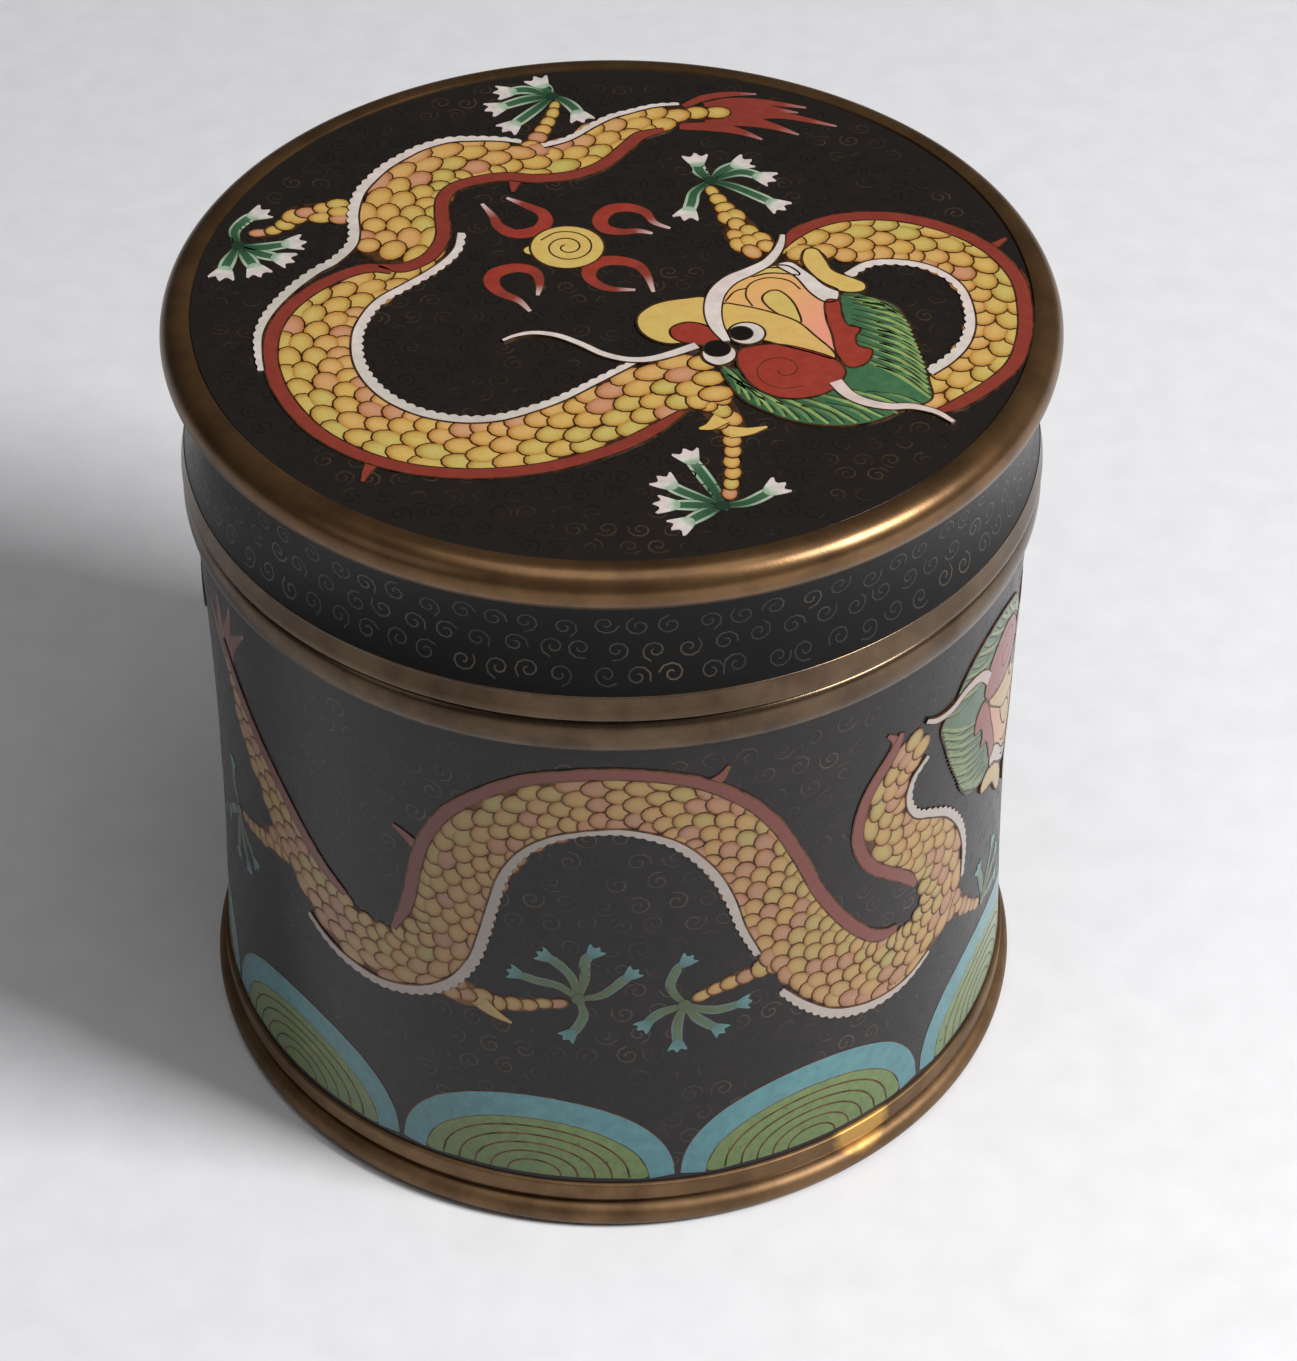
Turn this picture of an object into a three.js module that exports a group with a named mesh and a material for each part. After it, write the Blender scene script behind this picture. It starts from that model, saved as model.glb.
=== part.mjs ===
import * as THREE from "three";

// A round cloisonné enamel box with a lid that lifts off: a copper cup and a copper lid,
// each with fused enamel on its outside, held between turned bronze rings.
// Millimetres, +Z up. The origin is the centre of the underside, where the foot stands.

// Heights, from the foot up
const footHeight = 6.5;
const bodyEnamelHeight = 67.2;
const mouthRingHeight = 4.2;
const lidRingHeight = 3.2;
const lidBandHeight = 11.2;

// The body's side is slightly waisted
const waistRadius = 47.3;
const waistRise = 38.2;
const hemFlare = 1.1;
const shoulderFlare = 0.7;

// The lid's side is a shallow cove
const lidWaistStep = 0.2;
const lidWaistRise = 5.7;
const lidHemFlare = 0.8;
const lidBrowFlare = 0.5;

// How far each bronze ring stands out of the enamel beside it
const mouthRingProud = 0.9;
const mouthRingEase = 0.8;
const lidRingBottomEase = 0.5;
const lidRingTopProud = 0.2;
const beadProud = 2;
const beadTubeRadius = 2.6;
const footBeadProud = 1.5;
const footBeadTubeRadius = 1.6;
const footGrooveDepth = 0.6;
const footGrooveHeight = 0.9;
const footMouldingProud = 0.5;
const footMouldingEase = 0.4;

// Walls
const enamelThickness = 1;
const copperThickness = 0.8;
const collarThickness = 0.8;
const collarRise = 11;
const collarLap = 5;
const collarChamfer = 2;
const footLedgeWidth = 1;
const baseRecess = 3;
const topEnamelSink = 0.3;
const topEnamelEase = 0.3;

// Play between the lid and the collar, and the solder or seat gap between pieces that touch
const lidPlay = 0.4;
const clearance = 0.3;

// Facets round the axis, and steps along a curved stretch of a profile
const sides = 56;
const hemSteps = 3;
const shoulderSteps = 2;
const lidCoveSteps = 2;
const lidRingSteps = 3;
const ringSteps = 6;
const beadSteps = 8;
const footBeadSteps = 6;

// Levels that pieces share
const bodyEnamelBottom = footHeight + clearance;
const bodyEnamelTop = bodyEnamelBottom + bodyEnamelHeight;
const mouthRingBottom = bodyEnamelTop + clearance;
const mouthRingTop = mouthRingBottom + mouthRingHeight;
const lidRingBottom = mouthRingTop + clearance;
const lidRingTop = lidRingBottom + lidRingHeight;
const lidBandBottom = lidRingTop + clearance;
const lidBandTop = lidBandBottom + lidBandHeight;
const beadBottom = lidBandTop + clearance;
const beadTop = beadBottom + 2 * beadTubeRadius;
const topEnamelTop = beadTop - topEnamelSink;
const topEnamelBottom = topEnamelTop - enamelThickness;
const lidPlateTop = topEnamelBottom - clearance;
const lidPlateBottom = lidPlateTop - copperThickness;
const collarTop = mouthRingTop + collarRise;
const floorTop = baseRecess + copperThickness;

// Radii that pieces share
const hemRadius = waistRadius + hemFlare;
const shoulderRadius = waistRadius + shoulderFlare;
const ringRadius = shoulderRadius + mouthRingProud;
const lidWaistRadius = waistRadius + lidWaistStep;
const lidHemRadius = lidWaistRadius + lidHemFlare;
const lidBrowRadius = lidWaistRadius + lidBrowFlare;
const skirtRadius = lidWaistRadius - enamelThickness - clearance;
const skirtBore = skirtRadius - copperThickness;
const collarRadius = skirtBore - lidPlay;
const collarBore = collarRadius - collarThickness;
const cupFootRadius = hemRadius - enamelThickness - clearance;
const cupShoulderRadius = shoulderRadius - enamelThickness - clearance;

// Points from one height to another on a side whose radius grows from a waist by the square
// of the distance to it.
function waistedSide(from, to, steps, waist, radius, flare, inset) {
  const reach = Math.max(Math.abs(from - waist), Math.abs(to - waist));
  const points = [];
  for (let i = 0; i <= steps; i++) {
    const z = from + ((to - from) * i) / steps;
    const share = (z - waist) / reach;
    points.push(new THREE.Vector2(radius + flare * share * share - inset, z));
  }
  return points;
}

// The body's side from its hem up to its shoulder, set in from the enamel's face.
function bodySide(inset) {
  const waist = bodyEnamelBottom + waistRise;
  return [
    ...waistedSide(bodyEnamelBottom, waist, hemSteps, waist, waistRadius, hemFlare, inset),
    ...waistedSide(waist, bodyEnamelTop, shoulderSteps, waist, waistRadius, shoulderFlare, inset)
      .slice(1),
  ];
}

// Points on an arc of an ellipse, by angle from the outward direction, low to high.
function arc(radius, height, radialReach, heightReach, from, to, steps) {
  const points = [];
  for (let i = 0; i <= steps; i++) {
    const angle = from + ((to - from) * i) / steps;
    points.push(
      new THREE.Vector2(
        radius + radialReach * Math.cos(angle),
        height + heightReach * Math.sin(angle),
      ),
    );
  }
  return points;
}

// Points up the outside of a half-round bead.
function halfRound(radius, height, radialReach, heightReach, steps) {
  return arc(radius, height, radialReach, heightReach, -Math.PI / 2, Math.PI / 2, steps);
}

const at = (radius, height) => new THREE.Vector2(radius, height);

const bronze = (color) => new THREE.MeshStandardMaterial({ color, roughness: 0.34, metalness: 1 });
const enamel = (color) => new THREE.MeshStandardMaterial({ color, roughness: 0.22, metalness: 0 });

// A solid of revolution about Z. The profile runs up the outside and down the inside.
function turned(name, profile, material) {
  const closed = profile[0].x === 0 ? profile : [...profile, profile[0]];
  const geometry = new THREE.LatheGeometry(closed, sides);
  geometry.rotateX(Math.PI / 2);
  const mesh = new THREE.Mesh(geometry, material);
  mesh.name = name;
  return mesh;
}

// The foot: a half-round bead on the table, a groove and a flat moulding. Inside, the cup
// stands on a ledge that leaves its underside clear of the table.
function footRing() {
  const tube = footBeadTubeRadius;
  const beadCentre = hemRadius + footBeadProud - tube;
  const mouldingRadius = hemRadius + footMouldingProud;
  const grooveRadius = mouldingRadius - footGrooveDepth;
  const ledgeTop = baseRecess - clearance;
  const ledgeBore = cupFootRadius - copperThickness - footLedgeWidth;
  const seatRadius = cupFootRadius + clearance;
  return turned(
    "foot_ring",
    [
      at(ledgeBore, 0),
      ...halfRound(beadCentre, tube, tube, tube, footBeadSteps),
      at(grooveRadius, 2 * tube + footGrooveHeight / 3),
      at(grooveRadius, 2 * tube + (footGrooveHeight * 2) / 3),
      at(mouldingRadius, 2 * tube + footGrooveHeight),
      at(mouldingRadius, footHeight - footMouldingEase),
      at(mouldingRadius - footMouldingEase, footHeight),
      at(seatRadius, footHeight),
      at(seatRadius, ledgeTop),
      at(ledgeBore, ledgeTop),
    ],
    bronze(0x77502c),
  );
}

// The copper cup: floor, waisted wall, thickened mouth, and the collar that keeps the lid in
// place, which rises from the mouth as one piece with it.
function cup() {
  const outerSide = bodySide(enamelThickness + clearance);
  const innerSide = bodySide(enamelThickness + clearance + copperThickness).reverse();
  const lapBottom = mouthRingBottom - collarLap;
  const below = innerSide.filter((point) => point.y < lapBottom - collarChamfer);
  const lapWallRadius = cupShoulderRadius - copperThickness;
  return turned(
    "cup",
    [
      at(0, baseRecess),
      at(cupFootRadius, baseRecess),
      ...outerSide,
      at(cupShoulderRadius, mouthRingTop),
      at(collarRadius, mouthRingTop),
      at(collarRadius, collarTop),
      at(collarBore, collarTop),
      at(collarBore, lapBottom),
      at((collarBore + lapWallRadius) / 2, lapBottom - collarChamfer),
      ...below,
      at(cupFootRadius - copperThickness, floorTop),
      at(0, floorTop),
    ],
    enamel(0x3f8f96),
  );
}

// The enamel on the body's side, between the foot and the mouth ring.
function bodyEnamel() {
  const inside = bodySide(enamelThickness).reverse();
  return turned("body_enamel", [...bodySide(0), ...inside], enamel(0x2a2829));
}

// The half-round ring at the body's mouth, on which the lid rests.
function mouthRing() {
  const bore = cupShoulderRadius + clearance;
  const middle = (mouthRingBottom + mouthRingTop) / 2;
  return turned(
    "mouth_ring",
    [
      at(bore, mouthRingBottom),
      ...halfRound(ringRadius - mouthRingEase, middle, mouthRingEase, mouthRingHeight / 2, ringSteps),
      at(bore, mouthRingTop),
    ],
    bronze(0x7a5534),
  );
}

// The lid's lower ring: rounded where it meets the mouth ring, and tapered up to the enamel.
function lidRing() {
  const bore = skirtRadius + clearance;
  return turned(
    "lid_ring",
    [
      at(bore, lidRingBottom),
      ...arc(
        ringRadius - lidRingBottomEase,
        lidRingBottom + lidRingBottomEase,
        lidRingBottomEase,
        lidRingBottomEase,
        -Math.PI / 2,
        0,
        lidRingSteps,
      ),
      at(lidHemRadius + lidRingTopProud, lidRingTop),
      at(bore, lidRingTop),
    ],
    bronze(0x7a5534),
  );
}

// The copper lid: a flat plate with a straight skirt that slides over the collar.
function lidShell() {
  return turned(
    "lid_shell",
    [
      at(0, lidPlateBottom),
      at(skirtBore, lidPlateBottom),
      at(skirtBore, lidRingBottom),
      at(skirtRadius, lidRingBottom),
      at(skirtRadius, lidPlateTop),
      at(0, lidPlateTop),
    ],
    enamel(0x3f8f96),
  );
}

// The enamel on the lid's side: a cove between the lower ring and the top bead.
function lidSideEnamel() {
  const waist = lidBandBottom + lidWaistRise;
  const bore = skirtRadius + clearance;
  return turned(
    "lid_side_enamel",
    [
      ...waistedSide(lidBandBottom, waist, lidCoveSteps, waist, lidWaistRadius, lidHemFlare, 0),
      ...waistedSide(waist, lidBandTop, lidCoveSteps, waist, lidWaistRadius, lidBrowFlare, 0)
        .slice(1),
      at(bore, lidBandTop),
      at(bore, lidBandBottom),
    ],
    enamel(0x1f1d1e),
  );
}

// The round bead that frames the lid's top.
function lidBead() {
  const bore = skirtRadius + clearance;
  const centre = lidBrowRadius + beadProud - beadTubeRadius;
  return turned(
    "lid_bead",
    [
      at(bore, beadBottom),
      ...halfRound(centre, beadBottom + beadTubeRadius, beadTubeRadius, beadTubeRadius, beadSteps),
      at(bore, beadTop),
    ],
    bronze(0x8a5a30),
  );
}

// The flat enamel panel on top of the lid, just below the bead's crest.
function lidTopEnamel() {
  return turned(
    "lid_top_enamel",
    [
      at(0, topEnamelBottom),
      at(skirtRadius, topEnamelBottom),
      at(skirtRadius, topEnamelTop - topEnamelEase),
      at(skirtRadius - topEnamelEase, topEnamelTop),
      at(0, topEnamelTop),
    ],
    enamel(0x1c1a1b),
  );
}

const body = new THREE.Group();
body.add(footRing(), cup(), bodyEnamel(), mouthRing());

const lid = new THREE.Group();
lid.add(lidRing(), lidShell(), lidSideEnamel(), lidBead(), lidTopEnamel());

const group = new THREE.Group();
group.add(body, lid);

export default group;
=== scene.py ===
"""A round cloisonné enamel box with a lid that lifts off, dressed around its fixed frame.

Lengths are real millimetres until a mesh is made, +Z is up and -Y faces the viewer. Every turned
piece is a profile carried round the axis. The inlaid pictures are drawn flat, in millimetres, and
then laid on the lid or wrapped round the wall as thin closed cells. They lie over each other in
levels of a few thousandths of a millimetre, and the highest stands a quarter of a millimetre
over the black ground.
"""
import logging
import math
from dataclasses import dataclass, field, replace
from enum import Enum

import bmesh
import bpy
import numpy as np
from bpy.types import Material, Node, NodeSocket, NodeTree, Object
from mathutils import Matrix, Vector
from mathutils.geometry import delaunay_2d_cdt


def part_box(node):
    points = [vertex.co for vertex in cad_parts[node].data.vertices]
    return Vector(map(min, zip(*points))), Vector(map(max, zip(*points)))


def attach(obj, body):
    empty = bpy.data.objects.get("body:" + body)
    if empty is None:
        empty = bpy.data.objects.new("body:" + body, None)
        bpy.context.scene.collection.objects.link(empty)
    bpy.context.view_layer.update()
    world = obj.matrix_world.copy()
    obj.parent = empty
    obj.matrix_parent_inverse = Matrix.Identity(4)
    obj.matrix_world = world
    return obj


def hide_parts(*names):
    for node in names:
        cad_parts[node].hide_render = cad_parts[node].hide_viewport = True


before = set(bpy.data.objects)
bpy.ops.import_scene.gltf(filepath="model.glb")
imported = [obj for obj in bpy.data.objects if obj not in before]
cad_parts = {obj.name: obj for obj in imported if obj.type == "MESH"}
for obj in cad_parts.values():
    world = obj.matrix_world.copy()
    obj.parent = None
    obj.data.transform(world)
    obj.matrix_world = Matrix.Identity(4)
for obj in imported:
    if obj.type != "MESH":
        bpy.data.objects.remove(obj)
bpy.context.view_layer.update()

log = logging.getLogger("cloisonne_box")

MM = 0.001
BODY = "root"
SEED = 41
WRAP_RADIUS = 47.5
GIRTH = 2 * math.pi * WRAP_RADIUS
SCALE_POINTS = 12
TURNED_CREASE = 40
CELL_CREASE = 35

Array = np.ndarray
Pair = tuple[float, float]
Triple = tuple[float, float, float]
Stops = tuple[tuple[float, str], ...]
Points = tuple[tuple[float, ...], ...]


class Slot(Enum):
    """The record's material slots."""

    BRONZE = "bronze_rim"
    SIDE = "side_enamel"
    TOP = "top_enamel"
    COPPER = "counter_enamelled_copper"


# Colours and shader nodes


def linear(colour: str) -> tuple[float, float, float, float]:
    """Turns an sRGB hex colour into linear light.

    Args:
        colour: six hex digits after a hash sign.

    Returns:
        Linear red, green, blue and an alpha of 1.
    """
    encoded = np.array([int(colour[i : i + 2], 16) for i in (1, 3, 5)]) / 255
    low = encoded / 12.92
    high = ((encoded + 0.055) / 1.055) ** 2.4
    red, green, blue = np.where(encoded <= 0.04045, low, high)
    return float(red), float(green), float(blue), 1.0


def add_node(tree: NodeTree, kind: str, values: dict | None = None, links: dict | None = None,
             **settings: object) -> Node:
    """Adds a shader node with its settings and links.

    Args:
        tree: the node tree to add to.
        kind: the node's type.
        values: a value for each named or numbered input.
        links: the output that feeds each named or numbered input.
        settings: the node's own properties.

    Returns:
        The new node.
    """
    node = tree.nodes.new(kind)
    for name, value in settings.items():
        setattr(node, name, value)
    for key, value in (values or {}).items():
        node.inputs[key].default_value = value
    for key, output in (links or {}).items():
        tree.links.new(output, node.inputs[key])
    return node


def new_material(name: str) -> tuple[Material, NodeTree, NodeSocket]:
    """Makes a material that holds only the object coordinates.

    Args:
        name: the material's name.

    Returns:
        The material, its node tree and the output that gives the coordinates.
    """
    material = bpy.data.materials.new(name)
    material.use_nodes = True
    material.node_tree.nodes.clear()
    tree = material.node_tree
    return material, tree, add_node(tree, "ShaderNodeTexCoord").outputs["Object"]


def ramp(node: Node, stops: Stops) -> None:
    """Sets the stops of a Color Ramp node.

    Args:
        node: the Color Ramp node.
        stops: positions from 0 to 1, each with a hex colour.
    """
    elements = node.color_ramp.elements
    elements[0].position, elements[1].position = stops[0][0], stops[-1][0]
    elements[0].color, elements[1].color = linear(stops[0][1]), linear(stops[-1][1])
    for position, colour in stops[1:-1]:
        elements.new(position).color = linear(colour)


def finish_tree(tree: NodeTree, shader: Node) -> None:
    """Joins a shader to the material's output."""
    add_node(tree, "ShaderNodeOutputMaterial", links={"Surface": shader.outputs[0]})


@dataclass(frozen=True)
class VitreousEnamel:
    """Glass fused on copper and polished: even colour with faint clouding, pores and a soft gloss.

    The colour follows the cell's "shade" value along the stops. Towards its wire it darkens by a
    painted shade: the rim tone, weighed by how far the lit share falls from 1 in the middle of a
    cell to 0 at its wire.
    """

    name: str
    stops: Stops
    cloud: str = "#000000"
    clouding: float = 0.12
    cloud_size: float = 2.2
    rim_shade_tone: str = "#FFFFFF"
    roughness: float = 0.24
    grain: float = 0.45
    pit_depth: float = 0.012
    specular: float = 0.5

    def material(self) -> Material:
        """Builds the enamel's node material."""
        material, tree, place = new_material(self.name)
        colour = self.cell_colour(tree)
        clouds = add_node(
            tree, "ShaderNodeTexNoise",
            {"Scale": 1 / (self.cloud_size * MM), "Detail": 4.0, "Roughness": 0.6},
            {"Vector": place})
        share = add_node(
            tree, "ShaderNodeMapRange",
            {"From Min": 0.35, "From Max": 0.7, "To Min": 0.0, "To Max": self.clouding},
            {"Value": clouds.outputs["Fac"]})
        clouded = add_node(
            tree, "ShaderNodeMix", {7: linear(self.cloud)}, {0: share.outputs[0], 6: colour},
            data_type="RGBA")
        pits = add_node(
            tree, "ShaderNodeTexNoise", {"Scale": 1 / (self.grain * MM), "Detail": 2.0},
            {"Vector": place})
        bump = add_node(
            tree, "ShaderNodeBump", {"Strength": 0.6, "Distance": self.pit_depth * MM},
            {"Height": pits.outputs["Fac"]})
        shader = add_node(
            tree, "ShaderNodeBsdfPrincipled",
            {"Roughness": self.roughness, "IOR": 1.5, "Specular IOR Level": self.specular},
            {"Base Color": clouded.outputs[2], "Normal": bump.outputs[0]})
        finish_tree(tree, shader)
        return material

    def cell_colour(self, tree: NodeTree) -> NodeSocket:
        """Adds the nodes for the colour inside a cell, darkened by a painted shade towards its
        wire, and returns their output.
        """
        shade = add_node(tree, "ShaderNodeAttribute", attribute_name="shade").outputs["Fac"]
        lit_share = add_node(tree, "ShaderNodeAttribute", attribute_name="lit_share").outputs["Fac"]
        tones = add_node(tree, "ShaderNodeValToRGB", links={"Fac": shade})
        ramp(tones, self.stops)
        # Painted shade towards the wire: the cell's colour is multiplied by a tone that runs from
        # white in the middle of the cell to the darker rim tone at its wire.
        rim = add_node(
            tree, "ShaderNodeMix", {7: linear("#FFFFFF"), 6: linear(self.rim_shade_tone)}, {0: lit_share},
            data_type="RGBA")
        toned = add_node(
            tree, "ShaderNodeMix", {0: 1.0}, {6: tones.outputs[0], 7: rim.outputs[2]},
            data_type="RGBA", blend_type="MULTIPLY")
        return toned.outputs[2]


@dataclass(frozen=True)
class TurnedBronze:
    """Cast bronze turned on a lathe, gilt and worn: fine rings round the axis, brown in the
    hollows of the gilding and bright gold where hands rub it. The film of age on it scatters a
    little light, so it isn't wholly metallic."""

    name: str
    gold: str = "#765839"
    brown: str = "#5C442C"
    stain: str = "#33271E"
    patch_size: float = 7.0
    ring_pitch: float = 0.25
    stain_from: float = 0.56
    stain_to: float = 0.72
    stained: float = 0.3
    roughness: Pair = (0.25, 0.36)
    ring_depth: float = 0.012
    pore_size: float = 0.35
    pore_depth: float = 0.02
    bright: str = "#C89A54"
    rub_place: Triple = (0.0, 0.0, 0.0)
    rub_size: float = 0.0
    metallic: float = 0.76

    def material(self) -> Material:
        """Builds the bronze's node material."""
        material, tree, place = new_material(self.name)
        wear = add_node(
            tree, "ShaderNodeTexNoise",
            {"Scale": 1 / (self.patch_size * MM), "Detail": 6.0, "Roughness": 0.62},
            {"Vector": place})
        toned = add_node(tree, "ShaderNodeValToRGB", links={"Fac": wear.outputs["Fac"]})
        ramp(toned, ((0.34, self.brown), (0.62, self.gold)))
        spots = add_node(
            tree, "ShaderNodeTexNoise",
            {"Scale": 2.3 / (self.patch_size * MM), "Detail": 8.0, "Roughness": 0.72},
            {"Vector": place})
        stain = add_node(
            tree, "ShaderNodeMapRange",
            {
                "From Min": self.stain_from, "From Max": self.stain_to, "To Min": 0.0,
                "To Max": self.stained},
            {"Value": spots.outputs["Fac"]})
        stained = add_node(
            tree, "ShaderNodeMix", {7: linear(self.stain)},
            {0: stain.outputs[0], 6: toned.outputs[0]}, data_type="RGBA")
        colour = self.rubbed(tree, place, stained.outputs[2], wear.outputs["Fac"])
        polish = add_node(
            tree, "ShaderNodeMapRange", {"To Min": self.roughness[0], "To Max": self.roughness[1]},
            {"Value": spots.outputs["Fac"]})
        shader = add_node(
            tree,
            "ShaderNodeBsdfPrincipled",
            {"Metallic": self.metallic},
            {
                "Base Color": colour, "Roughness": polish.outputs[0],
                "Normal": self.turning(tree, place)})
        finish_tree(tree, shader)
        return material

    def rubbed(self, tree: NodeTree, place: NodeSocket, colour: NodeSocket,
               wear: NodeSocket) -> NodeSocket:
        """Adds one patch rubbed back to bright metal.

        Args:
            tree: the material's nodes.
            place: the object coordinates.
            colour: the colour before the patch.
            wear: the noise that frays the patch's edge.

        Returns:
            The colour with the patch, or the same colour where the patch has no size.
        """
        if not self.rub_size:
            return colour
        centre = tuple(value * MM for value in self.rub_place)
        away = add_node(tree, "ShaderNodeVectorMath", {1: centre}, {0: place}, operation="DISTANCE")
        frayed = add_node(
            tree, "ShaderNodeMath", {1: self.rub_size * MM * 1.6},
            {0: wear, 2: away.outputs["Value"]}, operation="MULTIPLY_ADD")
        share = add_node(
            tree, "ShaderNodeMapRange",
            {
                "From Min": self.rub_size * MM * 1.5, "From Max": self.rub_size * MM * 1.9,
                "To Min": 0.9, "To Max": 0.0},
            {"Value": frayed.outputs[0]})
        mixed = add_node(
            tree, "ShaderNodeMix", {7: linear(self.bright)}, {0: share.outputs[0], 6: colour},
            data_type="RGBA")
        return mixed.outputs[2]

    def turning(self, tree: NodeTree, place: NodeSocket) -> NodeSocket:
        """Adds the tool marks, a noise that varies with radius and height but not round the
        axis, with fine pores over it, and returns the bumped normal."""
        flat = add_node(
            tree, "ShaderNodeVectorMath", {1: (1.0, 1.0, 0.0)}, {0: place}, operation="MULTIPLY")
        radius = add_node(
            tree, "ShaderNodeVectorMath", links={0: flat.outputs[0]}, operation="LENGTH")
        parts = add_node(tree, "ShaderNodeSeparateXYZ", links={0: place})
        section = add_node(
            tree, "ShaderNodeCombineXYZ",
            links={"X": radius.outputs["Value"], "Z": parts.outputs["Z"]})
        rings = add_node(
            tree, "ShaderNodeTexNoise", {"Scale": 1 / (self.ring_pitch * MM), "Detail": 2.0},
            {"Vector": section.outputs[0]})
        pores = add_node(
            tree, "ShaderNodeTexNoise", {"Scale": 1 / (self.pore_size * MM), "Detail": 3.0},
            {"Vector": place})
        turned = add_node(
            tree, "ShaderNodeBump", {"Strength": 0.35, "Distance": self.ring_depth * MM},
            {"Height": rings.outputs["Fac"]})
        worn = add_node(
            tree, "ShaderNodeBump", {"Strength": 0.4, "Distance": self.pore_depth * MM},
            {"Height": pores.outputs["Fac"], "Normal": turned.outputs[0]})
        return worn.outputs[0]


@dataclass(frozen=True)
class CopperWire:
    """Flat copper wire set on edge and ground level with the glass: a thin line, gone brown."""

    name: str
    bright: str = "#6E4A2C"
    dull: str = "#2E1D12"
    roughness: float = 0.4
    metallic: float = 0.6
    patch_size: float = 1.8
    onset: Pair = (0.36, 0.66)

    def material(self) -> Material:
        """Builds the wire's node material."""
        material, tree, place = new_material(self.name)
        noise = add_node(
            tree, "ShaderNodeTexNoise",
            {"Scale": 1 / (self.patch_size * MM), "Detail": 4.0, "Roughness": 0.6},
            {"Vector": place})
        toned = add_node(tree, "ShaderNodeValToRGB", links={"Fac": noise.outputs["Fac"]})
        ramp(toned, ((self.onset[0], self.dull), (self.onset[1], self.bright)))
        shader = add_node(
            tree, "ShaderNodeBsdfPrincipled",
            {"Roughness": self.roughness, "Metallic": self.metallic},
            {"Base Color": toned.outputs[0]})
        finish_tree(tree, shader)
        return material


@dataclass(frozen=True)
class PaintedBoard:
    """The studio floor: a matt pale board with a barely seen tooth."""

    name: str = "matt_pale_board"
    colour: str = "#E2E2E4"
    tooth: str = "#DCDCDE"
    patch_size: float = 6.0

    def material(self) -> Material:
        """Builds the floor's node material."""
        material, tree, place = new_material(self.name)
        noise = add_node(
            tree, "ShaderNodeTexNoise", {"Scale": 1 / (self.patch_size * MM), "Detail": 5.0},
            {"Vector": place})
        toned = add_node(tree, "ShaderNodeValToRGB", links={"Fac": noise.outputs["Fac"]})
        ramp(toned, ((0.3, self.tooth), (0.7, self.colour)))
        shader = add_node(
            tree, "ShaderNodeBsdfPrincipled", {"Roughness": 0.75, "Specular IOR Level": 0.2},
            {"Base Color": toned.outputs[0]})
        finish_tree(tree, shader)
        return material


# Polished black glass. What it gives the eye is depth: nearly no colour of its own, and the
# pale table and the dark room mirrored softly in it.
TOP_BLACK = VitreousEnamel(
    "black_enamel_top", ((0.0, "#1C1816"), (1.0, "#1C1816")), cloud="#272019", clouding=0.35,
    roughness=0.3)
SIDE_BLACK = VitreousEnamel(
    "black_enamel_side", ((0.0, "#161314"), (1.0, "#161314")), cloud="#292224", clouding=0.4,
    roughness=0.3, specular=0.3)
BAND_BLACK = VitreousEnamel(
    "black_enamel_band", ((0.0, "#0F0E0E"), (1.0, "#0F0E0E")), cloud="#1B1716", clouding=0.3,
    roughness=0.3, specular=0.12)
# Opaque glass coloured by its oxides, one for each colour of the picture.
WHITE = VitreousEnamel(
    "opaque_white_enamel", ((0.0, "#B9B2A8"), (0.5, "#CFC5BE"), (1.0, "#CDB2AD")), cloud="#8C8478",
    clouding=0.35, cloud_size=1.4)
RED = VitreousEnamel(
    "brick_red_enamel",
    ((0.0, "#8E3428"), (0.2, "#92382C"), (0.36, "#7E352A"), (0.6, "#86392D"), (1.0, "#C9B2AE")),
    cloud="#5E1A16", clouding=0.3, cloud_size=1.6)
# The scales darken towards their wires by the rim tone: a painted shade.
SCALE = VitreousEnamel(
    "golden_yellow_enamel",
    ((0.0, "#B6AC62"), (0.3, "#C4A75E"), (0.6, "#C69F66"), (0.8, "#BC9070"), (1.0, "#BA846A")),
    cloud="#B57A38", clouding=0.3, cloud_size=1.3, rim_shade_tone="#D2B088")
PEACH = VitreousEnamel(
    "peach_enamel", ((0.0, "#CAA05C"), (0.5, "#CE9B68"), (1.0, "#D48A78")), cloud="#C08A4A",
    clouding=0.25, cloud_size=1.5)
GREEN = VitreousEnamel(
    "leaf_green_enamel", ((0.0, "#2C4F36"), (0.5, "#436B4A"), (1.0, "#98AC62")), cloud="#173E24",
    clouding=0.4, cloud_size=1.2)
CLAW = VitreousEnamel(
    "green_to_white_enamel",
    ((0.0, "#1F3324"), (0.45, "#3A5E42"), (0.7, "#8CA48A"), (0.8, "#C8C4BA"), (1.0, "#CDBDB8")),
    cloud="#26382A", clouding=0.25, cloud_size=1.1)
SEA_CLAW = VitreousEnamel(
    "blue_green_enamel", ((0.0, "#434D32"), (0.5, "#4C5E3E"), (0.72, "#446666"), (1.0, "#527A7C")),
    cloud="#33462F", clouding=0.3, cloud_size=1.2)
WAVE_BLUE = VitreousEnamel(
    "turquoise_enamel", ((0.0, "#44747A"), (1.0, "#5A8A8E")), cloud="#2E5560", clouding=0.4,
    cloud_size=1.6)
WAVE_GREEN = VitreousEnamel(
    "moss_green_enamel", ((0.0, "#546838"), (1.0, "#76864C")), cloud="#38502C", clouding=0.45,
    cloud_size=1.2)
PUPIL = VitreousEnamel("pupil_black_enamel", ((0.0, "#120E0E"), (1.0, "#1B1515")))
WIRE = CopperWire("browned_copper_wire")
# The cloud wires are painted glints: nearly the ground's colour, with wide random patches of
# lighter brass that stand in for the places where the real wires catch the light.
CLOUD_WIRE = CopperWire(
    "cloud_wire_painted_glints", bright="#564630", dull="#1D1A17", roughness=0.3, metallic=0.3,
    patch_size=9, onset=(0.48, 0.74))
BRONZE = TurnedBronze("gilt_bronze")
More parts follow.
